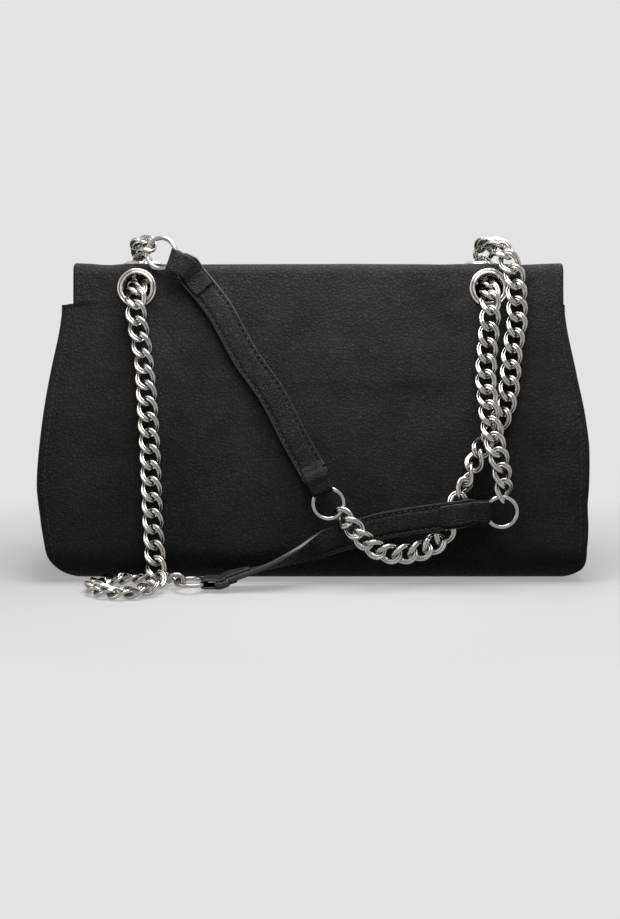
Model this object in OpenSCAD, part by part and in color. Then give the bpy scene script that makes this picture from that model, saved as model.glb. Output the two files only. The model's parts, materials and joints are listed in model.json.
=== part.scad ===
// Chain shoulder bag: a soft leather body with a flap, four eyelets and one long
// loop of curb chain with two leather straps. X is across, -Y faces the back panel's
// side, +Z is up, and the origin is the middle of the underside of the base.

/* [Bag body] */
// Width at the widest place
bag_w = 280; // [250:5:310]
// Height from the floor to the fold at the top of the back
bag_h = 163; // [150:1:180]
// Depth at the base
base_d = 90; // [80:1:105]
// Depth between the two panels at the mouth
mouth_d = 56; // [50:1:64]
// Rounding of the bottom edges and bottom corners
edge_r = 20; // [16:1:24]
// Thickness of the leather
leather_t = 1.8; // [1.4:0.1:2.2]
// Thickness of the lining
lining_t = 0.7; // [0.5:0.1:0.9]
// Thickness of the leather facings inside the mouth
facing_t = 1.2; // [0.9:0.1:1.5]
// Thickness of the stiff board in the base
board_t = 1.5; // [1:0.1:2.5]

/* [Flap] */
// Width of the flap and of the top of the back panel
flap_w = 245; // [225:5:260]
// Height of the flap's lower edge above the floor
flap_low = 38; // [30:1:60]
// Radius of the flap's lower corners
flap_corner_r = 36; // [20:1:45]
// Thickness of the reinforcement inside the flap
stiffener_t = 0.8; // [0.5:0.1:1.2]

/* [Eyelets] */
// Distance from the middle of the bag to an eyelet
eyelet_x = 89.5; // [80:0.5:95]
// Outer diameter of an eyelet
eyelet_d = 20; // [18:0.5:22]
// Distance from the top fold down to the middle of a back eyelet
eyelet_drop = 12.5; // [12:0.1:14]
// Place of the flap's eyelets, in front of the middle of the bag
eyelet_front = 6; // [4:0.5:8]
// Hole that the chain runs through
eyelet_bore = 14; // [13:0.1:14.4]
// Thickness of the washer behind an eyelet
washer_t = 0.6; // [0.4:0.1:0.8]

/* [Chain] */
// Length of one link outside
link_len = 13.85; // [13.6:0.1:14.4]
// Width of one link outside
link_w = 11.6; // [11.2:0.1:12]
// Wire that the links are bent from
link_wire = 2.5; // [2.3:0.1:2.7]
// Length that one link adds to the chain
link_pitch = 8.2; // [8:0.1:8.4]
// Twist of each half of a link
link_twist = -45; // [-50:1:-40]

/* [Straps] */
// Width of a strap
strap_w = 14; // [12:0.5:16]
// Thickness of a strap, two leathers sewn together
strap_t = 3; // [2.4:0.1:3.4]
// Width of the loop that holds a ring
loop_w = 10.8; // [9:0.1:11]
// Outer diameter of a ring
ring_d = 17.7; // [17:0.1:19]
// Wire of a ring
ring_wire = 2.2; // [1.8:0.1:2.4]

/* [Magnetic snap] */
// Diameter of the snap
snap_d = 18; // [16:0.5:20]
// Height of the snap's lower half
socket_h = 2.4; // [2.2:0.1:2.8]
// Thickness of the snap's upper half
cap_h = 1; // [0.8:0.1:1.2]
// Height of the snap's middle above the floor
snap_z = 62; // [58:1:75]

/* [Inner pocket] */
// Length of the pocket's zip
zip_l = 150; // [120:5:180]
// Height of the zip above the floor
zip_z = 112; // [100:1:116]
// Depth of the pocket below the zip
pocket_h = 70; // [50:1:76]
// Distance between two zip teeth
tooth_pitch = 3; // [2.5:0.1:4]

/* [Hidden] */

black = "#2b2b2c";
grey = "#6e6a66";
silver = "#cfcac4";
cut = 1; // overrun of every cut
air = 0.1; // clearance between sewn layers
run = 0.3; // clearance between pieces that move
across = [1, 0, 0];
deep = [0, 1, 0];
upright = [0, 0, 1];

function unit(v) = v / norm(v);
function between(a, b, t) = a + (b - a) * t;

// Smooth curve through points of any dimension, n steps from each to the next
function spline_at(p, i, t) =
    let(a = p[max(i - 1, 0)], b = p[i], c = p[i + 1], d = p[min(i + 2, len(p) - 1)])
    0.5 * (2 * b + (c - a) * t + (2 * a - 5 * b + 4 * c - d) * t * t
        + (3 * b - a - 3 * c + d) * t * t * t);
function smooth(p, n) =
    [for (i = [0:len(p) - 2], k = [0:n - 1]) spline_at(p, i, k / n), p[len(p) - 1]];

// A flat line moved to its left side, the strip between two such lines, and its mirror image
function tangent(p, i) = unit(p[min(i + 1, len(p) - 1)] - p[max(i - 1, 0)]);
function beside(p, d) =
    [for (i = [0:len(p) - 1]) let(t = tangent(p, i)) p[i] + d * [-t[1], t[0]]];
function backwards(p) = [for (i = [len(p) - 1:-1:0]) p[i]];
function strip(p, near, far) = concat(beside(p, near), backwards(beside(p, far)));
function mirrored(p) = [for (q = p) [-q[0], q[1]]];

// Round corner of radius r at k, coming from a and going to b
function fillet(a, k, b, r, n) =
    let(u = unit(a - k), v = unit(b - k), half = acos(u * v) / 2, m = unit(u + v),
        c = k + m * r / sin(half), side = sign(u[0] * v[1] - u[1] * v[0]))
    [for (i = [0:n]) let(w = (0.5 - i / n) * (180 - 2 * half) * side)
        c - r * [m[0] * cos(w) - m[1] * sin(w), m[0] * sin(w) + m[1] * cos(w)]];

module along_x(w) rotate([90, 0, 90]) linear_extrude(w, center = true) children();
module along_y(d) rotate([90, 0, 0]) linear_extrude(d, center = true) children();

// Side view of the panels: a round bottom edge, then a lean that grows towards the mouth
mouth_share = 0.847;
front_mouth_share = 0.82;
top_drop_share = 0.03;
lean_power = 1.4;
panel_steps = 8;
mouth_z = mouth_share * bag_h;
front_z = front_mouth_share * bag_h;
lean = (base_d - mouth_d) / 2;
lean_slope = lean * lean_power / (mouth_z - edge_r);
base_y = base_d / 2 - edge_r;
function depth_at(z) = z < edge_r
    ? base_y + sqrt(max(pow(edge_r, 2) - pow(edge_r - z, 2), 0))
    : z < mouth_z
    ? base_d / 2 - lean * pow((z - edge_r) / (mouth_z - edge_r), lean_power)
    : mouth_d / 2 - lean_slope * (z - mouth_z);
function tilt_at(z) = atan((depth_at(z - cut) - depth_at(z + cut)) / (2 * cut));
function round_edge(middle) =
    [for (a = [0:15:75]) [middle + edge_r * sin(a), edge_r * (1 - cos(a))]];
function panel_side(top) = concat(round_edge(base_y),
    [for (i = [0:panel_steps]) let(z = between(edge_r, top, i / panel_steps)) [depth_at(z), z]]);

// The back panel goes on over the top fold to the hinge line, where the flap takes over
fold_r = 5;
front_fold_r = 12;
hinge_share = 0.27;
flap_gap = socket_h + cap_h + run;
flap_layers = leather_t + stiffener_t + lining_t + 2 * air;
flap_out = flap_gap + flap_layers;
top_back = [-depth_at(bag_h), bag_h];
front_top_z = bag_h * (1 - top_drop_share);
top_front = [depth_at(front_top_z) + flap_out, front_top_z];
function top_at(y) = between(top_back, top_front,
    (y - top_back[0]) / (top_front[0] - top_back[0]));
top_tilt = atan((top_back[1] - top_front[1]) / (top_front[0] - top_back[0]));
hinge_y = -hinge_share * mouth_d;
hinge = top_at(hinge_y);
back_line = concat(mirrored(panel_side(mouth_z)),
    fillet([-depth_at(mouth_z), mouth_z], top_back, top_front, fold_r, 5),
    [top_at(hinge_y - run)]);
flap_line = concat([top_at(hinge_y + run)],
    fillet(hinge, top_front, [depth_at(front_z) + flap_out, front_z], front_fold_r, 6),
    [for (i = [panel_steps:-1:0]) let(z = between(flap_low, front_z, i / panel_steps))
        [depth_at(z) + flap_out, z]]);

// Front view of the body: half of the outline, from the flat base up to the mouth
side_shares = [[0.982, 0.123], [0.997, 0.22], [1, 0.34], [0.98, 0.5], [0.948, 0.65],
    [0.915, 0.78], [0.903, 0.847]];
base_x = side_shares[0][0] * bag_w / 2 - edge_r;
side_line = concat(round_edge(base_x),
    smooth([for (s = side_shares) [s[0] * bag_w / 2, s == side_shares[0] ? edge_r : s[1] * bag_h]], 3));
module body_front(inset) along_y(2 * base_d) polygon(concat(beside(side_line, inset),
    backwards(mirrored(beside(side_line, inset)))));
module upper_front(w, low) along_y(2 * base_d) translate([-w / 2, low]) square([w, bag_h]);
module between_panels(back, front) let(side = panel_side(mouth_z)) along_x(2 * bag_w)
    polygon(concat(beside(side, front), backwards(mirrored(beside(side, back)))));
module below(z) translate([-bag_w, -bag_w, -cut]) cube([2 * bag_w, 2 * bag_w, z + cut]);

// Places of the layers, measured from the outside of the leather
facing_in = leather_t + air;
back_stack = facing_in + facing_t;
lining_in = back_stack + air;
tape_t = 0.5;
pocket_t = 0.4;
tape_in = lining_in - air - tape_t;
pocket_in = tape_in - 2 * air - pocket_t;

// Places where pieces are fastened
eyelet_z = bag_h - eyelet_drop;
module on_back(x, z) translate([x, -depth_at(z), z]) rotate([90 - tilt_at(z), 0, 0]) children();
module on_front(z) translate([0, depth_at(z), z]) rotate([tilt_at(z) - 90, 0, 0]) children();
module on_top(x, y) translate([x, y, top_at(y)[1]]) rotate([-top_tilt, 0, 0]) children();
module hole(d) translate([0, 0, -bag_h / 10]) cylinder(h = bag_h / 5, d = d, $fn = 48);
module window(w) translate([-w / 2, -w / 2, -bag_h / 10]) cube([w, w, bag_h / 5]);

// Body
module leather_half(line, t, inset) intersection() {
    along_x(2 * bag_w) polygon(strip(line, 0, t));
    union() { body_front(inset); children(); }
}
module back_panel() color(black) difference() {
    leather_half(back_line, -leather_t, 0) upper_front(flap_w, mouth_z - cut);
    for (x = [-eyelet_x, eyelet_x]) on_back(x, eyelet_z) hole(barrel_d + 2 * air);
}
module front_panel() color(black) difference() {
    intersection() {
        leather_half(panel_side(mouth_z), leather_t, 0);
        below(front_z);
    }
    on_front(snap_z) prongs(2 * air);
}
module side_strip(side, near, far) along_y(2 * base_d)
    polygon(side > 0 ? strip(side_line, near, far) : mirrored(strip(side_line, near, far)));
module gusset(side) color(black) intersection() {
    side_strip(side, 0, leather_t);
    between_panels(leather_t, leather_t);
}
module gusset_left() gusset(-1);
module gusset_right() gusset(1);
module base_plate(z, t, more) translate([-base_x - more, -base_y - more, z])
    cube([2 * (base_x + more), 2 * (base_y + more), t]);
module base_panel() color(black) base_plate(0, leather_t, -run);
module base_board() color(grey) base_plate(leather_t + air, board_t, -3 * run);

// Facings and lining
facing_h_share = 0.16;
facing_low = front_z - facing_h_share * bag_h;
lap = 8; // height that the back lining and its facing share
module back_facing() color(black) difference() {
    intersection() {
        along_x(2 * bag_w) polygon(strip(back_line, -facing_in, -back_stack));
        upper_front(flap_w - 2 * leather_t, mouth_z - lap);
    }
    for (x = [-eyelet_x, eyelet_x]) on_back(x, eyelet_z) hole(barrel_d + 2 * air);
}
module front_layer(low, top, t) difference() {
    intersection() {
        along_x(2 * bag_w) polygon(strip(panel_side(mouth_z), facing_in, facing_in + t));
        body_front(facing_in);
        below(top);
    }
    below(low);
}
module front_facing() color(black) difference() {
    front_layer(facing_low, front_z, facing_t);
    on_front(snap_z) prongs(2 * air);
}
module lining_front() color(grey) difference() {
    front_layer(-cut, facing_low - run, lining_t);
    on_front(snap_z) window(snap_d + 2 * run);
}
module lining_back() color(grey) difference() {
    intersection() {
        along_x(2 * bag_w) polygon(strip(mirrored(panel_side(mouth_z)), -lining_in,
            -lining_in - lining_t));
        body_front(facing_in);
    }
    on_back(0, zip_z) zip_slot(zip_w);
}
module lining_left() color(grey) side_lining(-1);
module lining_right() color(grey) side_lining(1);
module side_lining(side) intersection() {
    side_strip(side, facing_in, facing_in + lining_t);
    between_panels(lining_in + lining_t + air, back_stack + air);
    below(mouth_z - cut);
}
base_top = leather_t + board_t + 3 * air;
module lining_base() color(grey) base_plate(base_top, lining_t, -3 * run);

// Inner zip pocket, on the hidden side of the back lining
zip_w = 7;
teeth_gap = 1.4;
tooth_l = 2.2;
tooth_t = 1.4;
module zip_slot(h) translate([-zip_l / 2, -h / 2, -bag_h / 10]) cube([zip_l, h, bag_h / 5]);
module on_lining() on_back(0, zip_z) translate([0, 0, -lining_in - lining_t]) children();
module zip_tapes() color(grey) on_lining() for (s = [-1, 1])
    translate([-zip_l / 2 - lap / 2, s > 0 ? teeth_gap / 2 + run : -teeth_gap / 2 - run - lap,
        lining_t + air]) cube([zip_l + lap, lap, tape_t]);
module zip_teeth() color(silver) on_lining() for (s = [-1, 1]) {
    translate([-zip_l / 2 + run, s > 0 ? teeth_gap / 2 : -teeth_gap / 2 - tooth_l,
        air])
        cube([zip_l - 2 * run, tooth_l, tooth_t / 2]);
    for (i = [0:floor(zip_l / tooth_pitch) - 1])
        translate([-zip_l / 2 + run + i * tooth_pitch,
            s > 0 ? teeth_gap / 2 : -teeth_gap / 2 - tooth_l, air - tooth_t / 2])
            cube([tooth_pitch / 2, tooth_l, tooth_t / 2]);
}
module pocket_bag() color(grey) intersection() {
    along_x(zip_l + 2 * lap) polygon(strip(mirrored(panel_side(mouth_z)), -pocket_in,
        -pocket_in - pocket_t));
    translate([-bag_w, -base_d, zip_z - pocket_h]) cube([2 * bag_w, base_d, pocket_h + lap]);
}
slider_w = 8;
slider_l = 10;
plate_t = 0.8;
slider_in = tooth_t / 2 - air + run; // from the lining's face to the slider's front plate
bail_h = 2.4;
module zip_slider() color(silver) on_lining() translate([0, 0, -slider_in - plate_t]) {
    translate([-slider_l / 2, -slider_w / 2, 0]) cube([slider_l, slider_w, plate_t]);
    translate([-slider_l / 2, -teeth_gap / 2 + run, 0])
        cube([slider_l / 4, teeth_gap - 2 * run, plate_t + slider_in + tooth_t / 2]);
    translate([0, 0, -bail_h]) cylinder(h = bail_h, d = pin_d, $fn = 32);
    translate([0, 0, -bail_h - plate_t]) cylinder(h = plate_t, d = 2 * pin_d, $fn = 32);
}
pin_d = 2;
pull_l = 26;
pull_w = 7;
module zip_pull() color(silver) on_lining()
    translate([0, 0, -slider_in - plate_t - bail_h + run]) difference() {
        union() {
            cylinder(h = bail_h - 2 * run, d = pull_w, $fn = 48);
            translate([-pull_w / 2, -pull_l, 0]) cube([pull_w, pull_l, bail_h - 2 * run]);
            translate([0, -pull_l, 0]) cylinder(h = bail_h - 2 * run, d = pull_w, $fn = 48);
        }
        translate([0, 0, -cut]) cylinder(h = bail_h + 2 * cut, d = pin_d + 2 * run, $fn = 48);
        translate([0, -pull_l, -cut]) cylinder(h = bail_h + 2 * cut, d = pull_w / 2, $fn = 48);
    }

// Flap: leather, reinforcement and lining, one after the other inwards
module flap_front() along_y(4 * base_d) union() {
    translate([-flap_w / 2, flap_low + flap_corner_r]) square([flap_w, bag_h]);
    translate([-flap_w / 2 + flap_corner_r, flap_low])
        square([flap_w - 2 * flap_corner_r, 2 * flap_corner_r]);
    for (s = [-1, 1]) translate([s * (flap_w / 2 - flap_corner_r), flap_low + flap_corner_r])
        circle(r = flap_corner_r, $fn = 96);
}
module flap_layer(near, t, margin) difference() {
    intersection() {
        along_x(2 * bag_w) polygon(strip(flap_line, -near, -near - t));
        translate([0, 0, margin]) resize_width(margin) flap_front();
    }
    for (x = [-eyelet_x, eyelet_x]) on_top(x, eyelet_front) hole(barrel_d + 2 * air);
}
module resize_width(margin) intersection() {
    children();
    translate([-flap_w / 2 + margin, -bag_w, 0]) cube([flap_w - 2 * margin, 2 * bag_w, 2 * bag_h]);
}
module flap() color(black) flap_layer(0, leather_t, 0);
module flap_reinforcement() color(grey) difference() {
    flap_layer(leather_t + air, stiffener_t, 3 * leather_t);
    on_snap_cap() hole(snap_d + 2 * air);
}
module flap_lining() color(black) difference() {
    flap_layer(leather_t + stiffener_t + 2 * air, lining_t, leather_t);
    on_snap_cap() prongs(2 * air);
}

// Magnetic snap: socket on the front panel, cap with a stud under the flap
stud_d = 5;
socket_bore = 9;
prong_w = 4;
prong_t = 0.5;
magnet_h_share = 0.75;
module on_snap_cap() on_front(snap_z)
    translate([0, 0, flap_out * cos(tilt_at(snap_z)) - flap_layers - air]) children();
module prongs(more) for (s = [-1, 1])
    translate([s * (snap_d + socket_bore) / 4 - prong_w / 2 - more / 2,
        -prong_t / 2 - more / 2, -bag_h / 20])
        cube([prong_w + more, prong_t + more, bag_h / 10]);
module prong_pair(length) for (s = [-1, 1])
    translate([s * (snap_d + socket_bore) / 4 - prong_w / 2, -prong_t / 2, 0])
        cube([prong_w, prong_t, length]);
socket_stack = leather_t + facing_t + 2 * air;
magnet_h = magnet_h_share * socket_h - 2 * air;
module snap_socket() color(silver) on_front(snap_z) translate([0, 0, air]) {
    difference() {
        cylinder(h = socket_h - air, d = snap_d, $fn = 64);
        translate([0, 0, -cut]) cylinder(h = socket_h + 2 * cut, d = socket_bore, $fn = 64);
        translate([0, 0, -cut]) difference() {
            cylinder(h = magnet_h + 2 * air + cut, d = snap_d - 2 * prong_t, $fn = 64);
            cylinder(h = magnet_h + 2 * air + cut, d = socket_bore + 2 * prong_t, $fn = 64);
        }
    }
}
module snap_magnet() color(grey) on_front(snap_z) translate([0, 0, 2 * air]) difference() {
    cylinder(h = magnet_h, d = snap_d - 2 * prong_t - 2 * air, $fn = 64);
    translate([0, 0, -cut])
        cylinder(h = magnet_h + 2 * cut, d = socket_bore + 2 * prong_t + 2 * air, $fn = 64);
}
module snap_socket_plate() color(silver) on_front(snap_z)
    translate([0, 0, -socket_stack - plate_t]) difference() {
        union() {
            cylinder(h = plate_t, d = snap_d, $fn = 64);
            translate([0, 0, plate_t]) prong_pair(socket_stack);
        }
        translate([0, 0, -cut]) cylinder(h = plate_t + 2 * cut, d = stud_d, $fn = 64);
    }
module snap_cap() color(silver) on_snap_cap() {
    translate([0, 0, -cap_h - air]) cylinder(h = cap_h, d = snap_d, $fn = 64);
    translate([0, 0, -cap_h - air - socket_h / 2]) cylinder(h = socket_h / 2 + cap_h / 2,
        d = stud_d, $fn = 64);
}
module snap_cap_plate() color(silver) on_snap_cap() translate([0, 0, lining_t + air])
    cylinder(h = stiffener_t - air, d = snap_d, $fn = 64);

// Eyelets: a round rim outside, a barrel through the layers and a rolled lip inside
barrel_t = 0.7;
barrel_d = eyelet_bore + 2 * barrel_t;
rim_r = (eyelet_d - eyelet_bore) / 4;
lip_r = barrel_t;
washer_reach = 1.1;
washer_d = barrel_d + 2 * washer_reach;
module eyelet(stack) color(silver) rotate_extrude($fn = 96) {
    translate([eyelet_bore / 2 + rim_r, air]) intersection() {
        circle(r = rim_r, $fn = 48);
        translate([-rim_r, 0]) square(2 * rim_r);
    }
    translate([eyelet_bore / 2, -stack - washer_t - 2 * air]) square([barrel_t,
        stack + washer_t + 3 * air]);
    translate([eyelet_bore / 2 + lip_r, -stack - washer_t - 2 * air]) intersection() {
        circle(r = lip_r, $fn = 32);
        translate([-lip_r, -2 * lip_r]) square(2 * lip_r);
    }
}
module washer(stack) color(silver) translate([0, 0, -stack - washer_t - air]) difference() {
    cylinder(h = washer_t, d = washer_d, $fn = 64);
    translate([0, 0, -cut]) cylinder(h = washer_t + 2 * cut, d = barrel_d + 2 * air, $fn = 64);
}
module eyelet_back_left() on_back(-eyelet_x, eyelet_z) eyelet(back_stack);
module eyelet_back_right() on_back(eyelet_x, eyelet_z) eyelet(back_stack);
module eyelet_flap_left() on_top(-eyelet_x, eyelet_front) eyelet(flap_layers);
module eyelet_flap_right() on_top(eyelet_x, eyelet_front) eyelet(flap_layers);
module washer_back_left() on_back(-eyelet_x, eyelet_z) washer(back_stack);
module washer_back_right() on_back(eyelet_x, eyelet_z) washer(back_stack);
module washer_flap_left() on_top(-eyelet_x, eyelet_front) washer(flap_layers);
module washer_flap_right() on_top(eyelet_x, eyelet_front) washer(flap_layers);

// Routes of the chain and straps. A point is a place, then the direction of the width there.
// near_back: across and height as shares, and layers in front of the back panel.
flat_share = 0.375;
rise = (link_w - link_wire) / 2 * flat_share + link_wire / 2 + run;
turn_share = 1.6;
turn_r = turn_share * link_pitch;
function near_back(x_share, z_share, layers, w) = let(z = max(z_share * bag_h, edge_r))
    concat([x_share * bag_w / 2, -depth_at(z) - layers * rise, z_share * bag_h],
        unit(w + [0, tan(tilt_at(z)) * w[2], 0]));
function on_floor(x_share, y_share, lift, w) =
    concat([x_share * bag_w / 2, -y_share * base_d / 2, lift * rise], unit(w));

// The bend round the back eyelet, the room under the flap and the bend through its eyelet
back_eye = [-depth_at(eyelet_z), eyelet_z];
flap_eye = top_at(eyelet_front);
entry_share = 1.7;
entry_r = entry_share * link_pitch;
entry_angle = 66;
entry_low_share = 0.03;
entry_mid = back_eye + entry_r * [cos(entry_angle), -sin(entry_angle) - entry_low_share];
turn_low_share = 0.08;
turn_mid = [flap_eye[0] - turn_r, flap_eye[1] - turn_low_share * turn_r];
function through_eyes(side) = concat(
    [for (a = [0, 27, 52, 75, 90]) concat([side * eyelet_x, entry_mid[0] - entry_r * cos(a),
        entry_mid[1] + entry_r * sin(a)], across)],
    [for (a = [-75, -50, -25, 0, 30, 60, 90]) concat([side * eyelet_x,
        turn_mid[0] + turn_r * cos(a), turn_mid[1] + turn_r * sin(a)], across)]);

ring_r = (ring_d - ring_wire) / 2;
hook = link_pitch / 2 - (link_len / 2 - link_wire - ring_wire / 2 - air);
function hooked(p) = let(n = len(p) - 1,
    a = unit(place(p[0]) - place(p[1])), b = unit(place(p[n]) - place(p[n - 1])))
    concat([concat(place(p[0]) + hook * a, width(p[0]))], [for (i = [1:n - 1]) p[i]],
        [concat(place(p[n]) + hook * b, width(p[n]))]);
function place(q) = [q[0], q[1], q[2]];
function width(q) = [q[3], q[4], q[5]];

// Rings: middle, direction of the chain's wire point, direction of the strap's wire point
lower_right = near_back(0.68, 0.243, 2.3, across);
upper_low = near_back(0.056, 0.267, 1.85, across);
lower_left = on_floor(-0.44, 1.26, 1.4, across);
upper_top = near_back(-0.55, 1.03, 0.9, across);
top_out = [0.84, -0.34, -0.42];
top_normal = cross(top_out, [0.45, 0, 0.9]);
low_out = [-0.42, 0, 0.9];
function wire_point(ring, d, w) = concat(place(ring) + ring_r * unit(d), unit(w));
loop_leather_t = 1.2;
loop_hole_r = ring_wire / 2 + run;
loop_reach = loop_hole_r + 3 * loop_leather_t;
loop_slack = ring_r - sqrt(pow(ring_r, 2) - pow(loop_w / 2, 2)) + ring_wire / 4;
// End of a strap at a ring: out is where the strap holds the ring, seen from its middle
function strap_end(ring, out, normal, more) =
    concat(place(ring) + (ring_r + loop_reach + air + more) * unit(out), unit(cross(normal, out)));

left_route = concat(
    [wire_point(lower_left, [-0.8, 0.6, 0], [0.6, 0.8, 0])],
    [on_floor(-0.5471, 1.0695, 1.5436, [0.34, 0.94, 0.03]),
    on_floor(-0.6192, 1.0071, 1.1631, [-0.04, 1, -0.01]),
    on_floor(-0.6818, 0.9581, 1.0377, [-0.22, 0.98, 0]),
    on_floor(-0.7448, 1.0115, 0.9508, [-0.75, 0.65, -0.1]),
    on_floor(-0.7918, 1.26, 1.005, [-0.97, -0.25, 0.02]),
    on_floor(-0.7627, 1.5003, 1.0151, [-0.62, -0.78, -0.11]),
    on_floor(-0.6903, 1.618, 0.9275, -deep), on_floor(-0.63, 1.59, 1, [0.2, -1, 0]),
    on_floor(-0.5819, 1.4895, 1.3995, [1, -1, 0]),
    on_floor(-0.5538, 1.3473, 2.0848, [0.99, -0.09, -0.05]),
    on_floor(-0.5654, 1.2518, 2.5227, [0.98, 0.22, 0.04]),
    near_back(-0.5727, 0.1109, 1.611, [0.99, -0.1, -0.01]),
    near_back(-0.578, 0.18, 1.2, across),
    near_back(-0.583, 0.3, 1.15, across), near_back(-0.59, 0.45, 1.1, across),
    near_back(-0.5994, 0.5808, 1.1276, across), near_back(-0.6095, 0.701, 1.3065, [0.89, -0.46, 0.12]),
    near_back(-0.6264, 0.7948, 1.5542, [0.94, -0.14, 0.34])],
    through_eyes(-1),
    [concat([-eyelet_x + turn_r / 3, turn_mid[0] - turn_r * 0.8, turn_mid[1] + turn_r], across),
    wire_point(upper_top, [-0.89, 0.31, 0.3], across)]);
right_route = concat(
    [wire_point(lower_right, [0.12, 0, 1], across)],
    [near_back(0.6847, 0.3356, 3.1316, [1, -0.03, 0.09]),
    near_back(0.6674, 0.415, 3.6101, [0.99, 0.15, -0.08]),
    near_back(0.6496, 0.456, 3.7604, across), near_back(0.6364, 0.5116, 3.0827, [0.98, 0.11, -0.19]),
    near_back(0.63, 0.57, 2.7, across), near_back(0.621, 0.63, 1.8, across),
    near_back(0.626, 0.7, 1.1, across), near_back(0.634, 0.78, 1.15, across)],
    through_eyes(1),
    [concat([eyelet_x + turn_r / 3, turn_mid[0] - turn_r, turn_mid[1] + turn_r * 0.97], across),
    near_back(0.7017, 1.0147, 1.7418, [0.97, -0.24, 0.02]),
    near_back(0.7327, 0.9558, 1.5829, [0.98, 0.19, -0.05]),
    near_back(0.7331, 0.8923, 1.3875, [0.8, -0.08, -0.57]),
    near_back(0.7402, 0.8287, 0.9341, [0.99, 0.12, -0.06]),
    near_back(0.72, 0.74, 1.05, across), near_back(0.709, 0.62, 1.05, across),
    near_back(0.694, 0.56, 1.05, across), near_back(0.6694, 0.5092, 1.1251, [0.99, 0.03, -0.14]),
    near_back(0.6283, 0.4601, 1.225, [1, -0.1, 0]),
    near_back(0.5936, 0.4175, 1.7224, [0.85, -0.52, -0.04]),
    near_back(0.5702, 0.3648, 1.6343, [0.37, -0.92, 0.27]),
    near_back(0.5464, 0.3258, 1.982, [-0.27, -0.96, 0.22]),
    near_back(0.531, 0.2892, 1.4441, [-0.9, -0.39, 0.23]),
    near_back(0.5181, 0.261, 1.3469, [-0.99, -0.07, 0.1]),
    near_back(0.4986, 0.2111, 1.1821, [-0.84, -0.12, 0.53]),
    near_back(0.4784, 0.172, 1.4403, [-0.85, -0.05, 0.53]),
    near_back(0.4434, 0.1379, 1.6708, [-0.56, -0.02, 0.83]),
    near_back(0.3896, 0.1224, 2.1698, [-0.36, -0.01, 0.93]),
    near_back(0.3485, 0.1144, 2.5532, [0.22, -0.13, 0.97]),
    near_back(0.2806, 0.1129, 2.9487, [-0.08, -0.21, 0.97]),
    near_back(0.2261, 0.1285, 2.9045, [0.1, -0.45, 0.9]),
    near_back(0.176, 0.1674, 3.6593, [0.36, -0.22, 0.92]),
    near_back(0.1431, 0.2087, 3.7338, [0.89, -0.18, 0.44]),
    near_back(0.1164, 0.2169, 2.8699, [0.79, 0.26, 0.53]),
    wire_point(upper_low, [0.7, 0, -0.7], [1, 0, 1])]);
strap_upper_route = [
    strap_end(upper_top, top_out, top_normal, 0), strap_end(upper_top, top_out, top_normal, strap_t),
    near_back(-0.435, 0.96, 0.9, [0.77, 0, 0.64]), near_back(-0.4, 0.925, 0.75, [0.77, 0, 0.64]),
    near_back(-0.333, 0.85, 0.7, [0.8, 0, 0.6]), near_back(-0.243, 0.712, 0.7, [0.85, 0, 0.5]),
    near_back(-0.15, 0.6, 0.7, [0.85, 0, 0.5]), near_back(-0.074, 0.475, 0.7, [0.87, 0, 0.45]),
    near_back(-0.008, 0.375, 0.8, [0.87, 0, 0.45]),
    strap_end(upper_low, low_out, -deep, strap_t), strap_end(upper_low, low_out, -deep, 0)];
strap_lower_route = [
    strap_end(lower_left, across, upright, 0), strap_end(lower_left, across, upright, strap_t),
    on_floor(-0.3, 1.22, 2, deep), on_floor(-0.16, 1.2, 3.7, [0, 1, -0.3]),
    near_back(-0.05, 0.108, 2.3, [0, 1, -1]), near_back(0.05, 0.142, 0.95, [0.2, 0.12, -1]),
    near_back(0.15, 0.168, 0.8, [0.2, 0, -1]), near_back(0.25, 0.193, 0.95, [0.2, 0, -1]),
    near_back(0.36, 0.215, 2.1, [0.2, 0, -1]), near_back(0.46, 0.231, 3, [0.1, 0, -1]),
    near_back(0.53, 0.238, 2.9, [0.1, 0, -1]),
    strap_end(lower_right, -across, -deep, strap_t), strap_end(lower_right, -across, -deep, 0)];

// A chain is laid along its route in whole links
route_steps = 8;
function lengths(d) = [for (i = 0, s = 0; i < len(d);
    s = s + (i < len(d) - 1 ? norm(place(d[i + 1]) - place(d[i])) : 0), i = i + 1) s];
function joints(route) = let(d = smooth(hooked(route), route_steps), s = lengths(d),
    n = round(s[len(s) - 1] / link_pitch), step = s[len(s) - 1] / n)
    [for (k = [0:n]) [for (c = [0:5]) lookup(k * step, [for (i = [0:len(d) - 1]) [s[i], d[i][c]]])]];
left_joints = joints(left_route);
right_joints = joints(right_route);

link_rings = 10;
link_sides = 6;
function link_middle(t) = [(link_len - link_wire) / 2 * cos(t),
    (link_w - link_wire) / 2 * sin(t) * cos(link_twist * cos(t)),
    (link_w - link_wire) / 2 * sin(t) * sin(link_twist * cos(t))];
function link_section(t) = let(c = link_middle(t), d = unit(link_middle(t + 1) - link_middle(t - 1)),
    b = unit(cross(d, unit(c))), e = cross(b, d))
    [for (j = [0:link_sides - 1]) let(a = 360 / link_sides * (j + 0.5))
        c + link_wire / 2 * (cos(a) * e + sin(a) * b)];
module link() {
    points = [for (i = [0:link_rings - 1]) each link_section(360 / link_rings * (i + 0.5))];
    faces = [for (i = [0:link_rings - 1], j = [0:link_sides - 1])
        let(a = i * link_sides + j, b = i * link_sides + (j + 1) % link_sides,
            c = (i + 1) % link_rings * link_sides + (j + 1) % link_sides,
            d = (i + 1) % link_rings * link_sides + j) each [[a, c, b], [a, d, c]]];
    polyhedron(points, faces);
}
module link_between(p, q, turn) let(x = unit(place(q) - place(p)))
    framed((place(p) + place(q)) / 2, x, unit(cross(x, width(p) + width(q)))) rotate([turn, 0, 0]) link();
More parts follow.
